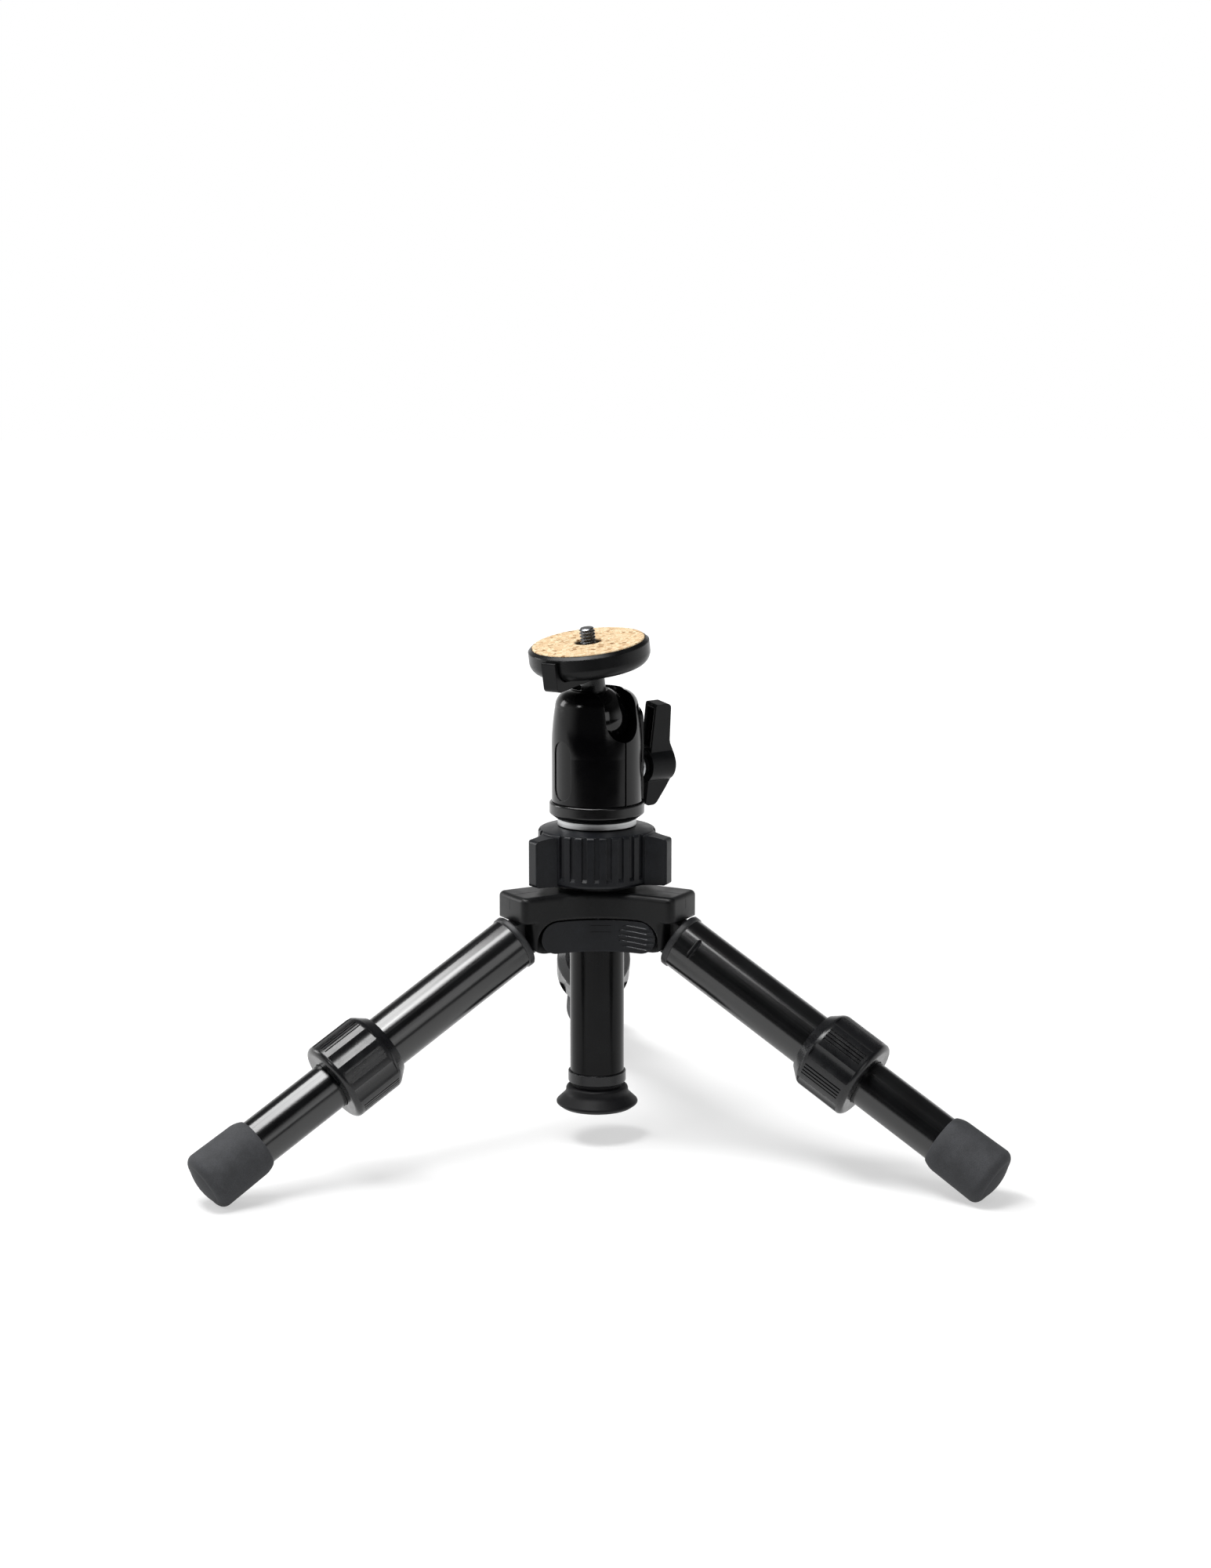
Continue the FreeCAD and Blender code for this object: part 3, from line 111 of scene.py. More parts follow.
def finishMaterial(material, colour, roughness, normal, **fixed):
    # fixed values stay on the shader's own sockets
    shader = addNode(material, "ShaderNodeBsdfPrincipled",
                     {"Base Color": colour, "Roughness": roughness, "Normal": normal})
    for name, value in fixed.items():
        shader.inputs[name.replace("_", " ")].default_value = value
    addNode(material, "ShaderNodeOutputMaterial", {"Surface": shader.outputs["BSDF"]})
    return material


# what every skin shares: where its two tones stand in the noise, the span of noise that roughness
# follows, and its edges, which hands have rubbed down to a share of the roughness
skinLook = {"toneStops": (0.12, 0.42), "noiseSpan": (0.3, 0.7), "bevelSamples": 4,
            "edgeSpan": (0.94, 0.998), "edgePolish": 0.6}


def grainedFinish(look):
    # one even skin with fine grain: two tones, grain in the normal, rounded edges and rubbed patches
    material = newMaterial(look["name"])
    place = addNode(material, "ShaderNodeTexCoord").outputs["Object"]
    grain = noiseTexture(material, place, 1 / (look["grain"] * mm), 3.0, Roughness=0.55)["Fac"]
    patches = noiseTexture(material, place, 1 / (look["patch"] * mm), 4.0, Roughness=0.6)["Fac"]
    dark, light = skinLook["toneStops"]
    colour = colourRamp(material, combine(material, "MULTIPLY", patches, grain),
                        [(dark, look["colour"]), (light, look["rubbed"])])
    roughness = remap(material, patches, skinLook["noiseSpan"], look["roughness"])
    edges = addNode(material, "ShaderNodeBevel", {"Radius": look["edge"] * mm},
                    samples=skinLook["bevelSamples"]).outputs["Normal"]
    face = addNode(material, "ShaderNodeNewGeometry").outputs["Normal"]
    level = addNode(material, "ShaderNodeVectorMath", {0: edges, 1: face}, operation="DOT_PRODUCT")
    polish = remap(material, level.outputs["Value"], skinLook["edgeSpan"], (skinLook["edgePolish"], 1.0))
    bump = addNode(material, "ShaderNodeBump",
                   {"Strength": 1.0, "Distance": look["grainHeight"] * mm,
                    "Height": grain, "Normal": edges})
    return finishMaterial(material, colour, combine(material, "MULTIPLY", roughness, polish),
                          bump.outputs["Normal"], IOR=look["ior"], Specular_IOR_Level=look["shine"],
                          Metallic=look.get("metal", 0.0))


def wear(material, node):
    # puts a material in every slot of a CAD piece
    piece = nodes[node]
    if not piece.data.materials:
        piece.data.materials.append(material)
    for index in range(len(piece.data.materials)):
        piece.data.materials[index] = material


# hub, hinge castings and camera plate: pressure die-cast aluminium under baked paint,
# which gives a satin skin with a fine orange peel
castingPaint = {
    "name": "bakedPaintOnDieCasting", "colour": "#0a0a0b", "rubbed": "#151617",
    "grain": 0.55, "grainHeight": 0.012, "patch": 9.0, "edge": 1.3,
    "roughness": (0.3, 0.42), "ior": 1.5, "shine": 0.24,
}
flangePaint = dict(castingPaint, name="bakedPaintOnHingeCasting", colour="#121214", rubbed="#262729",
                   roughness=(0.36, 0.5), shine=0.45)
platePaint = dict(castingPaint, name="bakedPaintOnCameraPlate", colour="#080809", rubbed="#111213",
                  roughness=(0.24, 0.34), edge=0.7, shine=0.18)
# body and base of the ball head: sprayed gloss enamel over machined aluminium, nearly a black mirror
headEnamel = {
    "name": "sprayedEnamelOnAluminium", "colour": "#030304", "rubbed": "#060607",
    "grain": 1.4, "grainHeight": 0.004, "patch": 14.0, "edge": 0.25,
    "roughness": (0.13, 0.2), "ior": 1.5, "shine": 0.26,
}
baseEnamel = dict(headEnamel, name="sprayedEnamelOnBaseRing", colour="#050505", rubbed="#0b0b0c",
                  roughness=(0.16, 0.24), shine=0.4)
# the ball: ground and hard anodised, darker and sharper than the paint beside it
ballCoat = {
    "name": "hardAnodisedBall", "colour": "#040405", "rubbed": "#09090a",
    "grain": 0.5, "grainHeight": 0.001, "patch": 8.0, "edge": 0.1,
    "roughness": (0.09, 0.15), "ior": 1.6, "shine": 0.34,
}
stemCoat = dict(ballCoat, name="blackenedTurnedStem", colour="#08080a", rubbed="#151618",
                grain=0.35, grainHeight=0.004, edge=0.15, roughness=(0.24, 0.34), shine=0.4)
# knob, collars and levers: injection-moulded glass-filled nylon, dull black with a spark-eroded grain
knobNylon = {
    "name": "mouldedNylonKnob", "colour": "#0e0f12", "rubbed": "#191b1f",
    "grain": 0.4, "grainHeight": 0.014, "patch": 7.0, "edge": 0.45,
    "roughness": (0.3, 0.42), "ior": 1.53, "shine": 0.22,
}
collarNylon = dict(knobNylon, name="mouldedNylonCollar", colour="#0b0b0d", rubbed="#151618",
                   roughness=(0.22, 0.32), grainHeight=0.006, edge=0.08, shine=0.42)
clampNylon = dict(knobNylon, name="mouldedNylonClampLever", colour="#0c0d0e", rubbed="#161719",
                  roughness=(0.3, 0.4), grainHeight=0.006, shine=0.14)
lockNylon = dict(clampNylon, name="mouldedNylonLockLever", colour="#070708", rubbed="#0f1011")
endNylon = dict(collarNylon, name="mouldedNylonEndRing", colour="#08080a", rubbed="#111214", shine=0.34)
# feet: compression-moulded rubber, dark grey, chalky and without shine
footRubber = {
    "name": "mouldedGreyRubber", "colour": "#323335", "rubbed": "#48494c",
    "grain": 0.3, "grainHeight": 0.02, "patch": 6.0, "edge": 0.2,
    "roughness": (0.68, 0.82), "ior": 1.48, "shine": 0.35,
}
endRubber = dict(footRubber, name="mouldedBlackRubber", colour="#0b0b0d", rubbed="#151517",
                 roughness=(0.45, 0.58), grainHeight=0.01, shine=0.2)
# bush and collets: natural acetal, milky white
bushAcetal = {
    "name": "mouldedNaturalAcetal", "colour": "#d8d6cf", "rubbed": "#efede6",
    "grain": 0.8, "grainHeight": 0.006, "patch": 6.0, "edge": 0.15,
    "roughness": (0.34, 0.44), "ior": 1.48, "shine": 0.5,
}
# pins, screws and washer: bright zinc-plated steel
pinSteel = {
    "name": "zincPlatedSteel", "colour": "#8b8c8e", "rubbed": "#b9bbbd",
    "grain": 0.3, "grainHeight": 0.003, "patch": 4.0, "edge": 0.1,
    "roughness": (0.24, 0.36), "ior": 1.5, "shine": 0.5, "metal": 1.0,
}

casting = grainedFinish(castingPaint)
flange = grainedFinish(flangePaint)
plateFinish = grainedFinish(platePaint)
enamel = grainedFinish(headEnamel)
baseFinish = grainedFinish(baseEnamel)
ballFinish = grainedFinish(ballCoat)
stemFinish = grainedFinish(stemCoat)
knobFinish = grainedFinish(knobNylon)
collarFinish = grainedFinish(collarNylon)
clampFinish = grainedFinish(clampNylon)
lockFinish = grainedFinish(lockNylon)
endFinish = grainedFinish(endNylon)
greyRubber = grainedFinish(footRubber)
blackRubber = grainedFinish(endRubber)
acetal = grainedFinish(bushAcetal)
steel = grainedFinish(pinSteel)

# tubes: drawn aluminium, brushed lengthwise and anodised black, so the light runs in long clean bands
tubeLook = {"colour": "#060607", "rubbed": "#0e0f10", "toneStops": (0.35, 0.7), "patch": 12.0,
            "streak": 0.45, "streakLength": 40.0, "streakHeight": 0.0035, "roughness": (0.15, 0.24),
            "edge": 0.15, "ior": 1.55, "legShine": 0.6, "columnShine": 0.12}


def drawnTube(name, direction, shine):
    # direction is the way that the tube was drawn; streaks are stretched along it
    material = newMaterial(name)
    place = addNode(material, "ShaderNodeTexCoord").outputs["Object"]
    turnBack = Vector(direction).to_track_quat("Z", "Y").inverted().to_euler()
    along = 1 / (tubeLook["streakLength"] * mm)
    across = 1 / (tubeLook["streak"] * mm)
    turned = addNode(material, "ShaderNodeVectorRotate", {"Vector": place, "Rotation": turnBack},
                     rotation_type="EULER_XYZ")
    stretched = addNode(material, "ShaderNodeMapping", {"Vector": turned.outputs["Vector"],
                                                        "Scale": (across, across, along)})
    streaks = noiseTexture(material, stretched.outputs["Vector"], 1.0, 3.0)["Fac"]
    patches = noiseTexture(material, place, 1 / (tubeLook["patch"] * mm), 3.0)["Fac"]
    dark, light = tubeLook["toneStops"]
    colour = colourRamp(material, patches, [(dark, tubeLook["colour"]), (light, tubeLook["rubbed"])])
    roughness = remap(material, streaks, skinLook["noiseSpan"], tubeLook["roughness"])
    edges = addNode(material, "ShaderNodeBevel", {"Radius": tubeLook["edge"] * mm},
                    samples=skinLook["bevelSamples"])
    bump = addNode(material, "ShaderNodeBump",
                   {"Strength": 1.0, "Distance": tubeLook["streakHeight"] * mm,
                    "Height": streaks, "Normal": edges.outputs["Normal"]})
    return finishMaterial(material, colour, roughness, bump.outputs["Normal"],
                          IOR=tubeLook["ior"], Specular_IOR_Level=shine)


# top plate of the column: plain aluminium, turned on a lathe, with fine rings round its rim
turnedLook = {"colour": "#9c9d9e", "rubbed": "#cfd0d0", "toneStops": (0.3, 0.7), "ring": 0.12,
              "acrossScale": 30.0, "ringHeight": 0.004, "roughness": (0.26, 0.44)}


def turnedAluminium():
    look = turnedLook
    material = newMaterial("latheTurnedAluminium")
    place = addNode(material, "ShaderNodeTexCoord").outputs["Object"]
    across = look["acrossScale"]
    stretched = addNode(material, "ShaderNodeMapping",
                        {"Vector": place, "Scale": (across, across, 1 / (look["ring"] * mm))})
    rings = noiseTexture(material, stretched.outputs["Vector"], 1.0, 4.0)["Fac"]
    dark, light = look["toneStops"]
    colour = colourRamp(material, rings, [(dark, look["colour"]), (light, look["rubbed"])])
    roughness = remap(material, rings, (0.0, 1.0), look["roughness"])
    bump = addNode(material, "ShaderNodeBump",
                   {"Strength": 1.0, "Distance": look["ringHeight"] * mm, "Height": rings})
    return finishMaterial(material, colour, roughness, bump.outputs["Normal"], Metallic=1.0)


aluminium = turnedAluminium()
columnFinish = drawnTube("drawnAnodisedColumn", (0, 0, 1), tubeLook["columnShine"])

finishes = {
    "hub": casting, "hinge_pins": steel, "lever_pins": steel, "column_bush": acetal,
    "column_lock_knob": knobFinish, "column_tube": columnFinish, "column_top_plate": aluminium,
    "head_stud": steel, "column_end_ring": endFinish, "column_end_foot": blackRubber,
    "head_base": baseFinish, "head_body": enamel, "clamp_screw": steel, "clamp_washer": steel,
    "clamp_knob": clampFinish, "ball_seat": acetal, "ball": ballFinish, "stem": stemFinish,
    "camera_plate": plateFinish, "plate_lock_lever": lockFinish,
}
for side in ("left", "right", "rear"):
    legFinish = drawnTube("drawnAnodisedLeg_" + side, joints["leg_" + side + "_extend"]["axis"],
                          tubeLook["legShine"])
    leg = "leg_" + side
    finishes[leg + "_hinge_casting"] = flange
    finishes[leg + "_upper_tube"] = legFinish
    finishes[leg + "_lower_tube"] = legFinish
    finishes[leg + "_collar"] = collarFinish
    finishes[leg + "_collet"] = acetal
    finishes[leg + "_guide_ring"] = acetal
    finishes[leg + "_foot"] = greyRubber
    finishes["angle_lever_" + side] = knobFinish
    finishes["lever_spring_" + side] = steel
for node, material in finishes.items():
    wear(material, node)
print("finishes on", len(finishes), "pieces")

# frame of the stem: its origin is the ball's centre and Z runs up the stem
stemAxis = Vector(joints["stem_turn"]["axis"]).normalized()
ballCentre = Vector(joints["stem_turn"]["pos_m"])
stemFrame = Matrix.Translation(ballCentre) @ stemAxis.to_track_quat("Z", "Y").to_matrix().to_4x4()


def newPiece(name, build, material, body, place=None, replaced=None, smooth=True):
    # build fills a bmesh in metres; place moves it to its seat
    mesh = bpy.data.meshes.new(name)
    shape = bmesh.new()
    build(shape)
    shape.normal_update()
    shape.to_mesh(mesh)
    shape.free()
    for face in mesh.polygons:
        face.use_smooth = smooth
    if place is not None:
        mesh.transform(place)
    mesh.materials.append(material)
    piece = bpy.data.objects.new(name, mesh)
    bpy.context.scene.collection.objects.link(piece)
    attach(piece, body)
    if replaced:
        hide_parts(replaced)
    return piece


# camera screw: quarter-inch thread, 20 turns to the inch, rolled in steel
cameraScrew = {"radius": 3.175, "pitch": 1.27, "depth": 0.69, "bottom": 21.2, "top": 37.4,
               "chamfer": 0.7, "steps": 48,
               "flanks": (0.06, 0.44, 0.56, 0.94),  # shares of the pitch: root, crest, crest, root
               "endOver": 0.05}  # how far the chamfered end stays outside the root


def rolledThread(shape):
    look = cameraScrew
    root = look["radius"] - look["depth"]
    profile = list(zip(look["flanks"], (root, look["radius"], look["radius"], root)))
    turns = int((look["top"] - look["bottom"]) / look["pitch"]) + 2
    steps = look["steps"]
    rows = []
    for step in range(turns * steps + 1):
        angle = tau * step / steps
        start = look["bottom"] + look["pitch"] * (step / steps - 1)
        row = []
        for share, radius in profile:
            height = min(max(start + share * look["pitch"], look["bottom"]), look["top"])
            chamfer = (look["top"] - height) * look["depth"] / look["chamfer"]
            radius = min(radius, root + look["endOver"] + chamfer)
            row.append(shape.verts.new((radius * mm * cos(angle), radius * mm * sin(angle), height * mm)))
        rows.append(row)
    for row, following in zip(rows, rows[1:]):
        for i in range(len(row) - 1):
            shape.faces.new((row[i], following[i], following[i + 1], row[i + 1]))
    for i in range(len(rows) - steps - 1):
        # the root, from one turn to the next
        shape.faces.new((rows[i][-1], rows[i + 1][-1], rows[i + steps + 1][0], rows[i + steps][0]))
    for height in (look["bottom"], look["top"]):
        rim = []
        for i in range(steps):
            angle = tau * i / steps
            rim.append(shape.verts.new((root * mm * cos(angle), root * mm * sin(angle), height * mm)))
        shape.faces.new(rim)
    bmesh.ops.remove_doubles(shape, verts=shape.verts, dist=0.002 * mm)
    bmesh.ops.dissolve_degenerate(shape, edges=shape.edges, dist=0.001 * mm)
    bmesh.ops.recalc_face_normals(shape, faces=shape.faces)


screwSteel = grainedFinish(dict(pinSteel, name="rolledSteelScrew", colour="#4a4b4d", rubbed="#8d8f92",
                                roughness=(0.22, 0.34)))
newPiece("cameraScrewThread", rolledThread, screwSteel, "plate", stemFrame, "camera_screw", False)

# cork pad: pressed granules, so its top is a little uneven and its rim crumbles
corkLook = {"outer": 22.65, "inner": 5.5, "bottom": 30.4, "thickness": 1.5, "around": 180, "across": 36,
            "uneven": 0.12, "lumps": (1.1, 2.7), "rimDrop": 0.12, "rimLumps": 0.1, "rimCrumble": 0.004,
            "granule": 1.5, "paleGrain": "#d8c4a3", "midGrain": "#c3a680", "darkGrain": "#7d5a36",
            "warpScale": 1.4, "warp": 0.0006, "seamWidth": 0.07, "seamDark": 0.55,
            "fleckScale": 5, "fleckShare": 0.35, "relief": 0.1, "roughness": (0.75, 0.95)}


def pressedCork(shape):
    look = corkLook
    around, across = look["around"], look["across"]
    large, small = look["lumps"]
    top = look["bottom"] + look["thickness"]
    rings = []
    outline = [(look["inner"], look["bottom"])]
    for i in range(across + 1):
        outline.append((look["inner"] + (look["outer"] - look["inner"]) * i / across, top))
    outline.append((look["outer"], look["bottom"]))
    for radius, height in outline:
        ring = []
        for i in range(around):
            angle = tau * i / around
            spot = Vector((radius * cos(angle), radius * sin(angle), height))
            lump = noise.noise(spot * large) + 0.5 * noise.noise(spot * small)
            if height == top:
                spot.z -= look["uneven"] * (0.5 + 0.5 * lump)
                if radius in (look["inner"], look["outer"]):
                    spot.z -= look["rimDrop"] + look["rimLumps"] * lump
            if radius == look["outer"]:
                spot.xy *= 1 - look["rimCrumble"] * (1 + lump)
            ring.append(shape.verts.new(spot * mm))
        rings.append(ring)
    for ring, following in zip(rings, rings[1:] + rings[:1]):
        for i in range(around):
            j = (i + 1) % around
            shape.faces.new((ring[i], ring[j], following[j], following[i]))
    bmesh.ops.recalc_face_normals(shape, faces=shape.faces)


def pressedCorkFinish():
    # granules are cells of three browns with dark gaps between them, and some are bark-dark
    look = corkLook
    material = newMaterial("pressedCorkSheet")
    place = addNode(material, "ShaderNodeTexCoord").outputs["Object"]
    scale = 1 / (look["granule"] * mm)
    warp = noiseTexture(material, place, scale * look["warpScale"], 2.0)["Color"]
    moved = addNode(material, "ShaderNodeMixRGB", {"Fac": look["warp"], "Color1": place, "Color2": warp},
                    blend_type="ADD").outputs["Color"]
    cells = addNode(material, "ShaderNodeTexVoronoi", {"Vector": moved, "Scale": scale})
    gaps = addNode(material, "ShaderNodeTexVoronoi", {"Vector": moved, "Scale": scale},
                   feature="DISTANCE_TO_EDGE").outputs["Distance"]
    shade = addNode(material, "ShaderNodeSeparateColor", {"Color": cells.outputs["Color"]})
    tone = colourRamp(material, shade.outputs["Red"],
                      [(0.0, look["darkGrain"]), (0.12, look["midGrain"]), (0.5, look["paleGrain"]),
                       (1.0, look["midGrain"])])
    seam = remap(material, gaps, (0.0, look["seamWidth"]), (look["seamDark"], 0.0))
    flecks = noiseTexture(material, place, scale * look["fleckScale"], 4.0)["Fac"]
    speckled = addNode(material, "ShaderNodeMixRGB",
                       {"Fac": look["fleckShare"], "Color1": tone, "Color2": flecks},
                       blend_type="OVERLAY")
    colour = addNode(material, "ShaderNodeMixRGB",
                     {"Fac": seam, "Color1": speckled.outputs["Color"],
                      "Color2": linearColour(look["darkGrain"])})
    bump = addNode(material, "ShaderNodeBump", {"Strength": 0.8, "Distance": look["relief"] * mm,
                                                "Height": combine(material, "ADD", gaps, flecks)})
    roughness = remap(material, flecks, (0.0, 1.0), look["roughness"])
    return finishMaterial(material, colour.outputs["Color"], roughness, bump.outputs["Normal"], IOR=1.35)


newPiece("pressedCorkPad", pressedCork, pressedCorkFinish(), "plate", stemFrame, "cork_pad")
print("screw and cork built")

# the hub's and levers' own meshes, to lay fine lines on them; rays toward them start well outside
surfaces = {node: BVHTree.FromPolygons([v.co.copy() for v in nodes[node].data.vertices],
                                       [tuple(f.vertices) for f in nodes[node].data.polygons])
            for node in ("hub", "angle_lever_left", "angle_lever_right", "angle_lever_rear")}
lineLook = {"away": 0.06, "above": 0.13,  # metres from the axis and above the floor
            "runOut": 3, "tip": 0.02}  # rows over which an end runs out, and what is left at its tip


def landing(node, start, direction):
    # where a ray from outside meets the piece, and the way that the surface faces there
    spot, facing, _, _ = surfaces[node].ray_cast(Vector(start), Vector(direction).normalized())
    return (spot, facing) if spot is not None else None


def layRidge(shape, landings, halfWidth, height, sunk, steps):
    # a rounded ridge that follows the landings; over its last few rows it runs out to nothing
    rows = []
    count = len(landings)
    for i, (spot, facing) in enumerate(landings):
        along = landings[min(i + 1, count - 1)][0] - landings[max(i - 1, 0)][0]
        across = along.cross(facing).normalized()
        fromEnd = min(i, count - 1 - i) + lineLook["tip"]
        runOut = min(1.0, fromEnd / lineLook["runOut"]) ** 0.5
        row = []
        for k in range(steps + 1):
            turn = pi * k / steps
            out = (height + sunk) * sin(turn) * runOut - sunk
            row.append(shape.verts.new(spot + across * halfWidth * runOut * cos(turn) + facing * out))
        rows.append(row)
    for row, following in zip(rows, rows[1:]):
        for k in range(steps):
            shape.faces.new((row[k], row[k + 1], following[k + 1], following[k]))
        shape.faces.new((row[-1], row[0], following[0], following[-1]))
    shape.faces.new(rows[0])
    shape.faces.new(rows[-1])
    bmesh.ops.recalc_face_normals(shape, faces=shape.faces)


# thumb pads of the angle levers: five rounded ribs inside an oval, and two fine steps beside them
padLook = {"ribs": 5, "pitch": 2.15, "halfWidth": 7.2, "halfHeight": 5.9, "fromEnd": 7.4,
           "ribHalf": 0.24, "ribHeight": 0.2, "ribSunk": 0.3, "slope": -0.09, "ribSides": 10,
           "stepHeights": (1.55, 4.2), "stepStart": -3.4, "stepEnd": 6.0, "stepHalf": 0.12,
           "stepHeight": 0.06, "stepSunk": 0.05, "stepSides": 4,
           "lengths": 24,  # parts of which one line is laid
           "turn": 60}  # degrees from the heading of the lever's own leg to the way that its pad faces
# flash left by the die along each arm: a hairline up its end and back over its top
partingLook = {"halfWidth": 0.13, "height": 0.035, "sunk": 0.05, "sides": 4, "endFrom": 99.3,
               "top": 106.59, "reach": 40.0, "innermost": 25.5, "corner": 1.2, "cornerIn": 2,
               "cornerAway": 0.02, "cornerTurns": (25, 45, 65), "upLengths": 8, "backLengths": 12}
headings = {"rear": 90.0, "left": 210.0, "right": 330.0}

# ribs of the thumb pads: the lever's nylon made smoother, in a lighter colour than the lever's that is a
# painted highlight
ribPaintedHighlightFinish = grainedFinish(dict(knobNylon, name="nylonRibWithPaintedHighlight", colour="#1b1c1f",
                               rubbed="#33353a", roughness=(0.2, 0.28), grainHeight=0.004, edge=0.05,
                               shine=0.75))
# flash on the hub and steps on the levers: darker than the casting and the nylon, painted shade that
# draws them as dark hairlines
flashAndStepPaintedShade = grainedFinish(dict(castingPaint, name="paintedShadeOnFlashAndSteps", colour="#020202",
                                 rubbed="#060606", roughness=(0.5, 0.6), edge=0.02, shine=0.08))


def padRibs(side):
    node = "angle_lever_" + side
    facing = radians(headings[side] + padLook["turn"])
    out = Vector((cos(facing), sin(facing), 0))
    sideways = Vector((-sin(facing), cos(facing), 0))
    low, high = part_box(node)
    middle = (low[2] + high[2]) / 2
    far = max(v.co.dot(sideways) for v in nodes[node].data.vertices)
    padCentre = far - padLook["fromEnd"] * mm

    def linePoints(fromSide, toSide, height, slope=0.0):
        found = []
        for i in range(padLook["lengths"] + 1):
            place = fromSide + (toSide - fromSide) * i / padLook["lengths"]
            rise = height + slope * (place - padCentre)
            start = out * lineLook["away"] + sideways * place + Vector((0, 0, rise))
            spot = landing(node, start, -out)
            if spot:
                found.append(spot)
        return found

    def ribs(shape):
        for number in range(padLook["ribs"]):
            rise = (number - (padLook["ribs"] - 1) / 2) * padLook["pitch"]
            half = padLook["halfWidth"] * (1 - (rise / padLook["halfHeight"]) ** 2) ** 0.5 * mm
            spots = linePoints(padCentre - half, padCentre + half, middle + rise * mm, padLook["slope"])
            layRidge(shape, spots, padLook["ribHalf"] * mm, padLook["ribHeight"] * mm,
                     padLook["ribSunk"] * mm, padLook["ribSides"])

    def steps(shape):
        for rise in padLook["stepHeights"]:
            spots = linePoints(padLook["stepStart"] * mm, padLook["stepEnd"] * mm, middle + rise * mm)
            layRidge(shape, spots, padLook["stepHalf"] * mm, padLook["stepHeight"] * mm,
                     padLook["stepSunk"] * mm, padLook["stepSides"])

    newPiece("thumbRibs_" + side, ribs, ribPaintedHighlightFinish, "lever_" + side)
    newPiece("leverSteps_" + side, steps, flashAndStepPaintedShade, "lever_" + side)


def partingFlash(shape):
    look = partingLook
    for heading in headings.values():
        facing = radians(heading)
        out = Vector((cos(facing), sin(facing), 0))
        spots = []
        for i in range(look["upLengths"] + 1):
            rise = (look["top"] - look["corner"] - look["endFrom"]) * i / look["upLengths"]
            start = out * lineLook["away"] + Vector((0, 0, (look["endFrom"] + rise) * mm))
            spots.append(landing("hub", start, -out))
        corner = out * (look["reach"] - look["cornerIn"]) * mm
        corner.z = (look["top"] - look["cornerIn"]) * mm
        for degrees in look["cornerTurns"]:
            way = out * cos(radians(degrees)) + Vector((0, 0, sin(radians(degrees))))
            spots.append(landing("hub", corner + way * look["cornerAway"], -way))
        outermost = look["reach"] - look["corner"]
        for i in range(look["backLengths"] + 1):
            place = outermost + (look["innermost"] - outermost) * i / look["backLengths"]
            start = out * place * mm + Vector((0, 0, lineLook["above"]))
            spots.append(landing("hub", start, Vector((0, 0, -1))))
        layRidge(shape, [spot for spot in spots if spot], look["halfWidth"] * mm, look["height"] * mm,
                 look["sunk"] * mm, look["sides"])


for side in headings:
    padRibs(side)
newPiece("partingFlash", partingFlash, flashAndStepPaintedShade, "hub")
print("thumb ribs and parting lines built")

# studio: light paper under and behind the tripod, white walls, and five lamps, the largest over the left
# side; where the paper ends in front, outside the photo's view, the room's dark floor begins (a view
# from behind shows it grey), and mirrors see a dark ceiling and a dark camera side too
studio = {
    "floorSize": 12.0, "floorColour": "#bcbcbc", "fibreColour": "#c4c4c4", "fibreScale": 900.0,
    "floorGlow": (0.5, 1.0), "glowReach": (0.3, 1.2),
    "ambient": 0.3, "ceiling": 0.08, "wallTop": (0.1, 0.5), "wallTone": 1.0,
    "paperFront": (-0.5, -0.4), "roomFloor": "#303030", "frontWall": (-0.7, -0.1), "frontTone": 0.08,
    "lampsAimAt": (0, 0, 0.11),
    "lamps": [
        # name, place in metres, long way of the lamp, length, width, watts
        ("stripOverLeft", (-0.38, -0.12, 0.95), (-0.475, 0.88, 0.0), 0.9, 0.25, 8.8),
        ("topLight", (-0.05, -0.24, 0.95), (1.0, 0.0, 0.0), 0.42, 0.2, 2.6),
        ("windowLeft", (-0.96, 0.40, 0.46), (0.0, 0.0, 1.0), 0.38, 0.32, 2.4),
        ("spotLeft", (-0.80, -0.60, 0.60), (0.0, 0.0, 1.0), 0.16, 0.16, 0.9),
        ("softboxRight", (0.60, -0.90, 0.40), (0.0, 0.0, 1.0), 0.55, 0.45, 1.3),
    ],
}


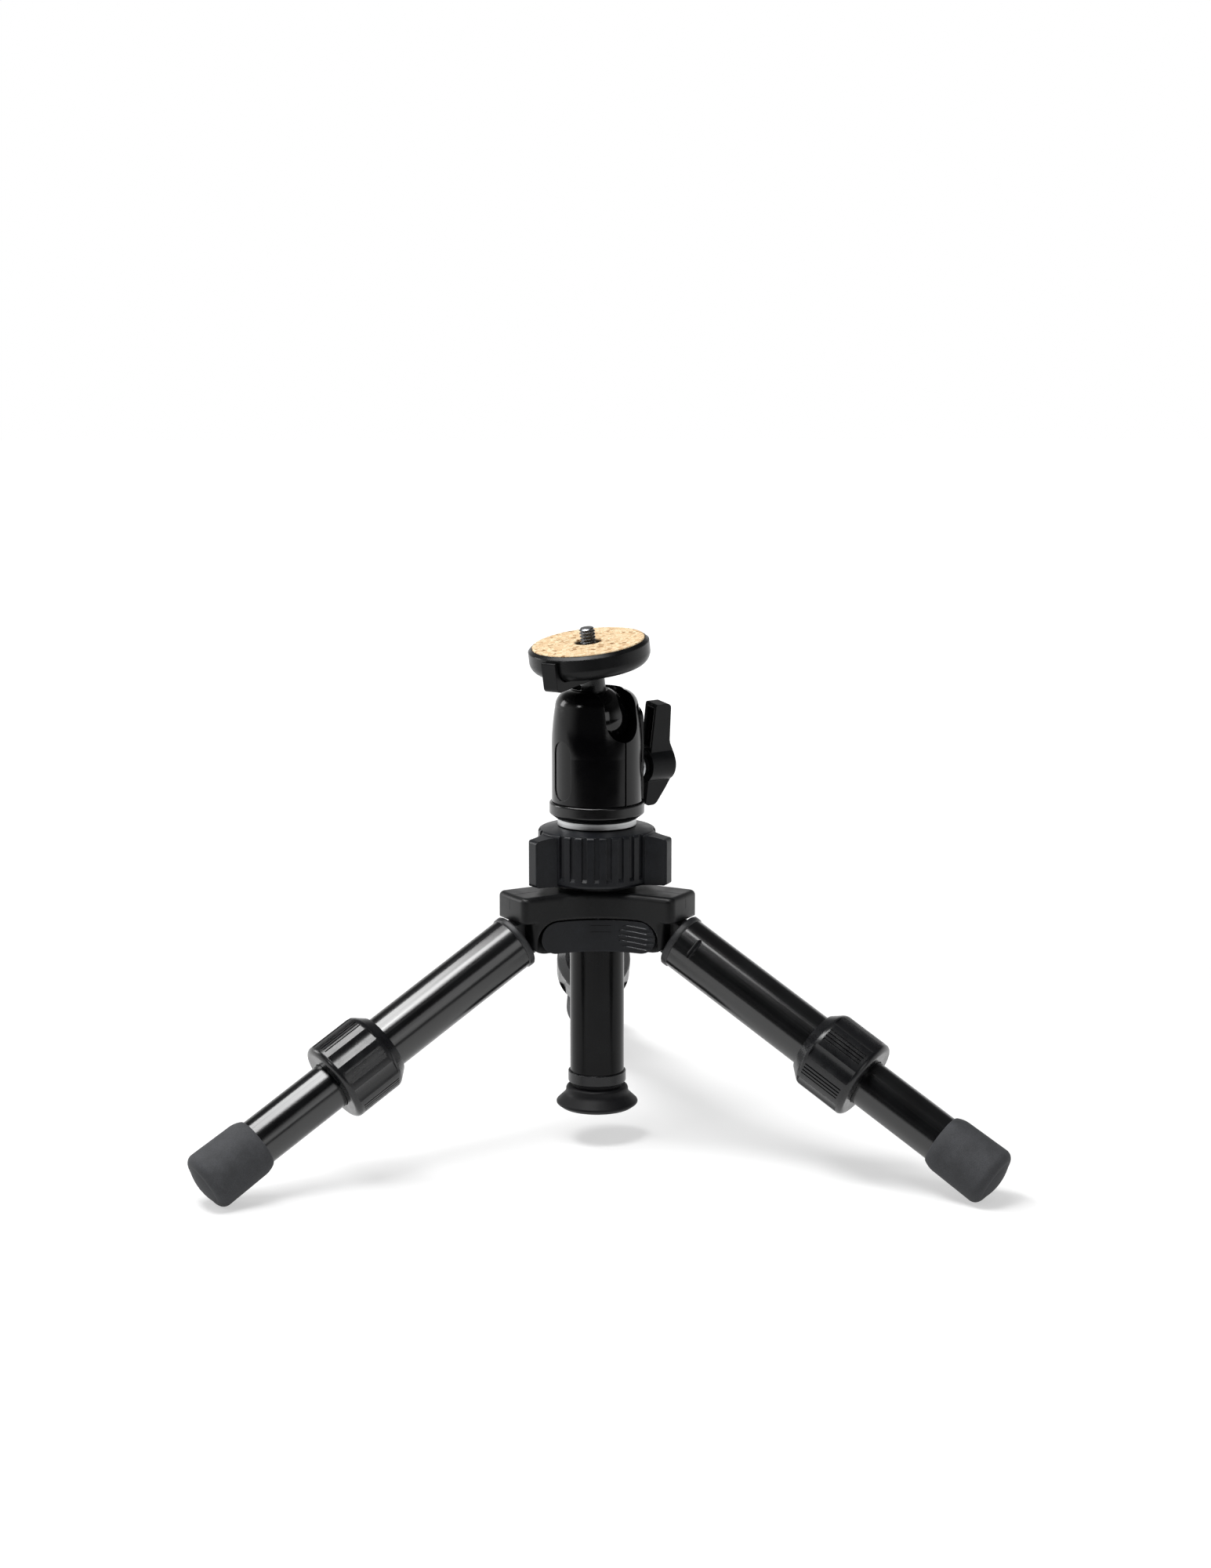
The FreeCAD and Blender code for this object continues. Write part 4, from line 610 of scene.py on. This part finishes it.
def paperFloor():
    # light grey paper with a glow that makes it white: the camera sees the glow everywhere, mirror and
    # see-through rays where paper lies; it is weaker near the tripod, so that the shadows show
    material = newMaterial("whitePaperSweep")
    place = addNode(material, "ShaderNodeTexCoord").outputs["Object"]
    fibre = noiseTexture(material, place, studio["fibreScale"], 2.0)["Fac"]
    colour = colourRamp(material, fibre, [(0.3, studio["floorColour"]), (0.7, studio["fibreColour"])])
    path = addNode(material, "ShaderNodeLightPath").outputs
    split = addNode(material, "ShaderNodeSeparateXYZ", {0: place})
    onPaper = remap(material, split.outputs["Y"], studio["paperFront"], (0.0, 1.0), "SMOOTHSTEP")
    laid = addNode(material, "ShaderNodeMixRGB",
                   {"Fac": onPaper, "Color1": linearColour(studio["roomFloor"]), "Color2": colour})
    lit = addNode(material, "ShaderNodeBsdfDiffuse", {"Color": laid.outputs["Color"]})
    away = addNode(material, "ShaderNodeVectorMath", {0: place}, operation="LENGTH").outputs["Value"]
    glowByPlace = remap(material, away, studio["glowReach"], studio["floorGlow"], "SMOOTHSTEP")
    mirrored = combine(material, "MAXIMUM", path["Is Glossy Ray"], path["Is Transmission Ray"])
    mirroredPaper = combine(material, "MULTIPLY", mirrored, onPaper)
    seen = combine(material, "MAXIMUM", path["Is Camera Ray"], mirroredPaper)
    glow = addNode(material, "ShaderNodeEmission",
                   {"Strength": combine(material, "MULTIPLY", seen, glowByPlace)})
    both = addNode(material, "ShaderNodeAddShader", {0: lit.outputs["BSDF"], 1: glow.outputs["Emission"]})
    addNode(material, "ShaderNodeOutputMaterial", {"Surface": both.outputs["Shader"]})
    mesh = bpy.data.meshes.new("paperSweep")
    half = studio["floorSize"] / 2
    mesh.from_pydata([(-half, -half, 0), (half, -half, 0), (half, half, 0), (-half, half, 0)], [],
                     [(0, 1, 2, 3)])
    mesh.materials.append(material)
    floor = bpy.data.objects.new("paperSweep", mesh)
    bpy.context.scene.collection.objects.link(floor)


def worldLight():
    # the camera sees white all round, and diffuse light is even; mirror and see-through rays see white
    # walls that darken toward the ceiling and toward the camera's side
    world = bpy.data.worlds.new("softRoom")
    world.use_nodes = True
    world.node_tree.nodes.clear()
    sky = addNode(world, "ShaderNodeTexCoord").outputs["Generated"]
    way = addNode(world, "ShaderNodeSeparateXYZ", {0: sky}).outputs
    walls = remap(world, way["Z"], studio["wallTop"],
                  (studio["wallTone"], studio["ceiling"]), "SMOOTHSTEP")
    front = remap(world, way["Y"], studio["frontWall"], (studio["frontTone"], 1.0), "SMOOTHSTEP")
    room = combine(world, "MULTIPLY", walls, front)
    path = addNode(world, "ShaderNodeLightPath").outputs
    mirrored = combine(world, "MAXIMUM", path["Is Glossy Ray"], path["Is Transmission Ray"])
    reflected = remap(world, mirrored, (0.0, 1.0), (studio["ambient"], room))
    strength = combine(world, "MAXIMUM", path["Is Camera Ray"], reflected)
    background = addNode(world, "ShaderNodeBackground", {"Color": (1, 1, 1, 1), "Strength": strength})
    addNode(world, "ShaderNodeOutputWorld", {"Surface": background.outputs["Background"]})
    bpy.context.scene.world = world


def addLamp(name, place, longWay, length, width, watts):
    lamp = bpy.data.lights.new(name, "AREA")
    lamp.shape = "RECTANGLE"
    lamp.size = length
    lamp.size_y = width
    lamp.energy = watts
    back = (Vector(place) - Vector(studio["lampsAimAt"])).normalized()
    side = back.cross(Vector(longWay)).normalized()
    turn = Matrix((side.cross(back), side, back)).transposed().to_4x4()
    holder = bpy.data.objects.new(name, lamp)
    holder.matrix_world = Matrix.Translation(place) @ turn
    bpy.context.scene.collection.objects.link(holder)


paperFloor()
worldLight()
for lamp in studio["lamps"]:
    addLamp(*lamp)
print("studio built")

# camera: where the photographer stood, about a metre off and looking ten degrees down
eye = {"place": (-15.6, -1070.9, 336.0), "down": 9.97, "aside": 1.02, "lens": 62.01, "sensor": 36.0}
camera = bpy.data.cameras.new("photoCamera")
camera.sensor_width = eye["sensor"]
camera.lens = eye["lens"]
cameraHolder = bpy.data.objects.new("photoCamera", camera)
cameraHolder.location = [value * mm for value in eye["place"]]
cameraHolder.rotation_euler = (radians(90 - eye["down"]), 0, -radians(eye["aside"]))
bpy.context.scene.collection.objects.link(cameraHolder)
bpy.context.scene.camera = cameraHolder
bpy.context.scene.view_settings.view_transform = "Standard"
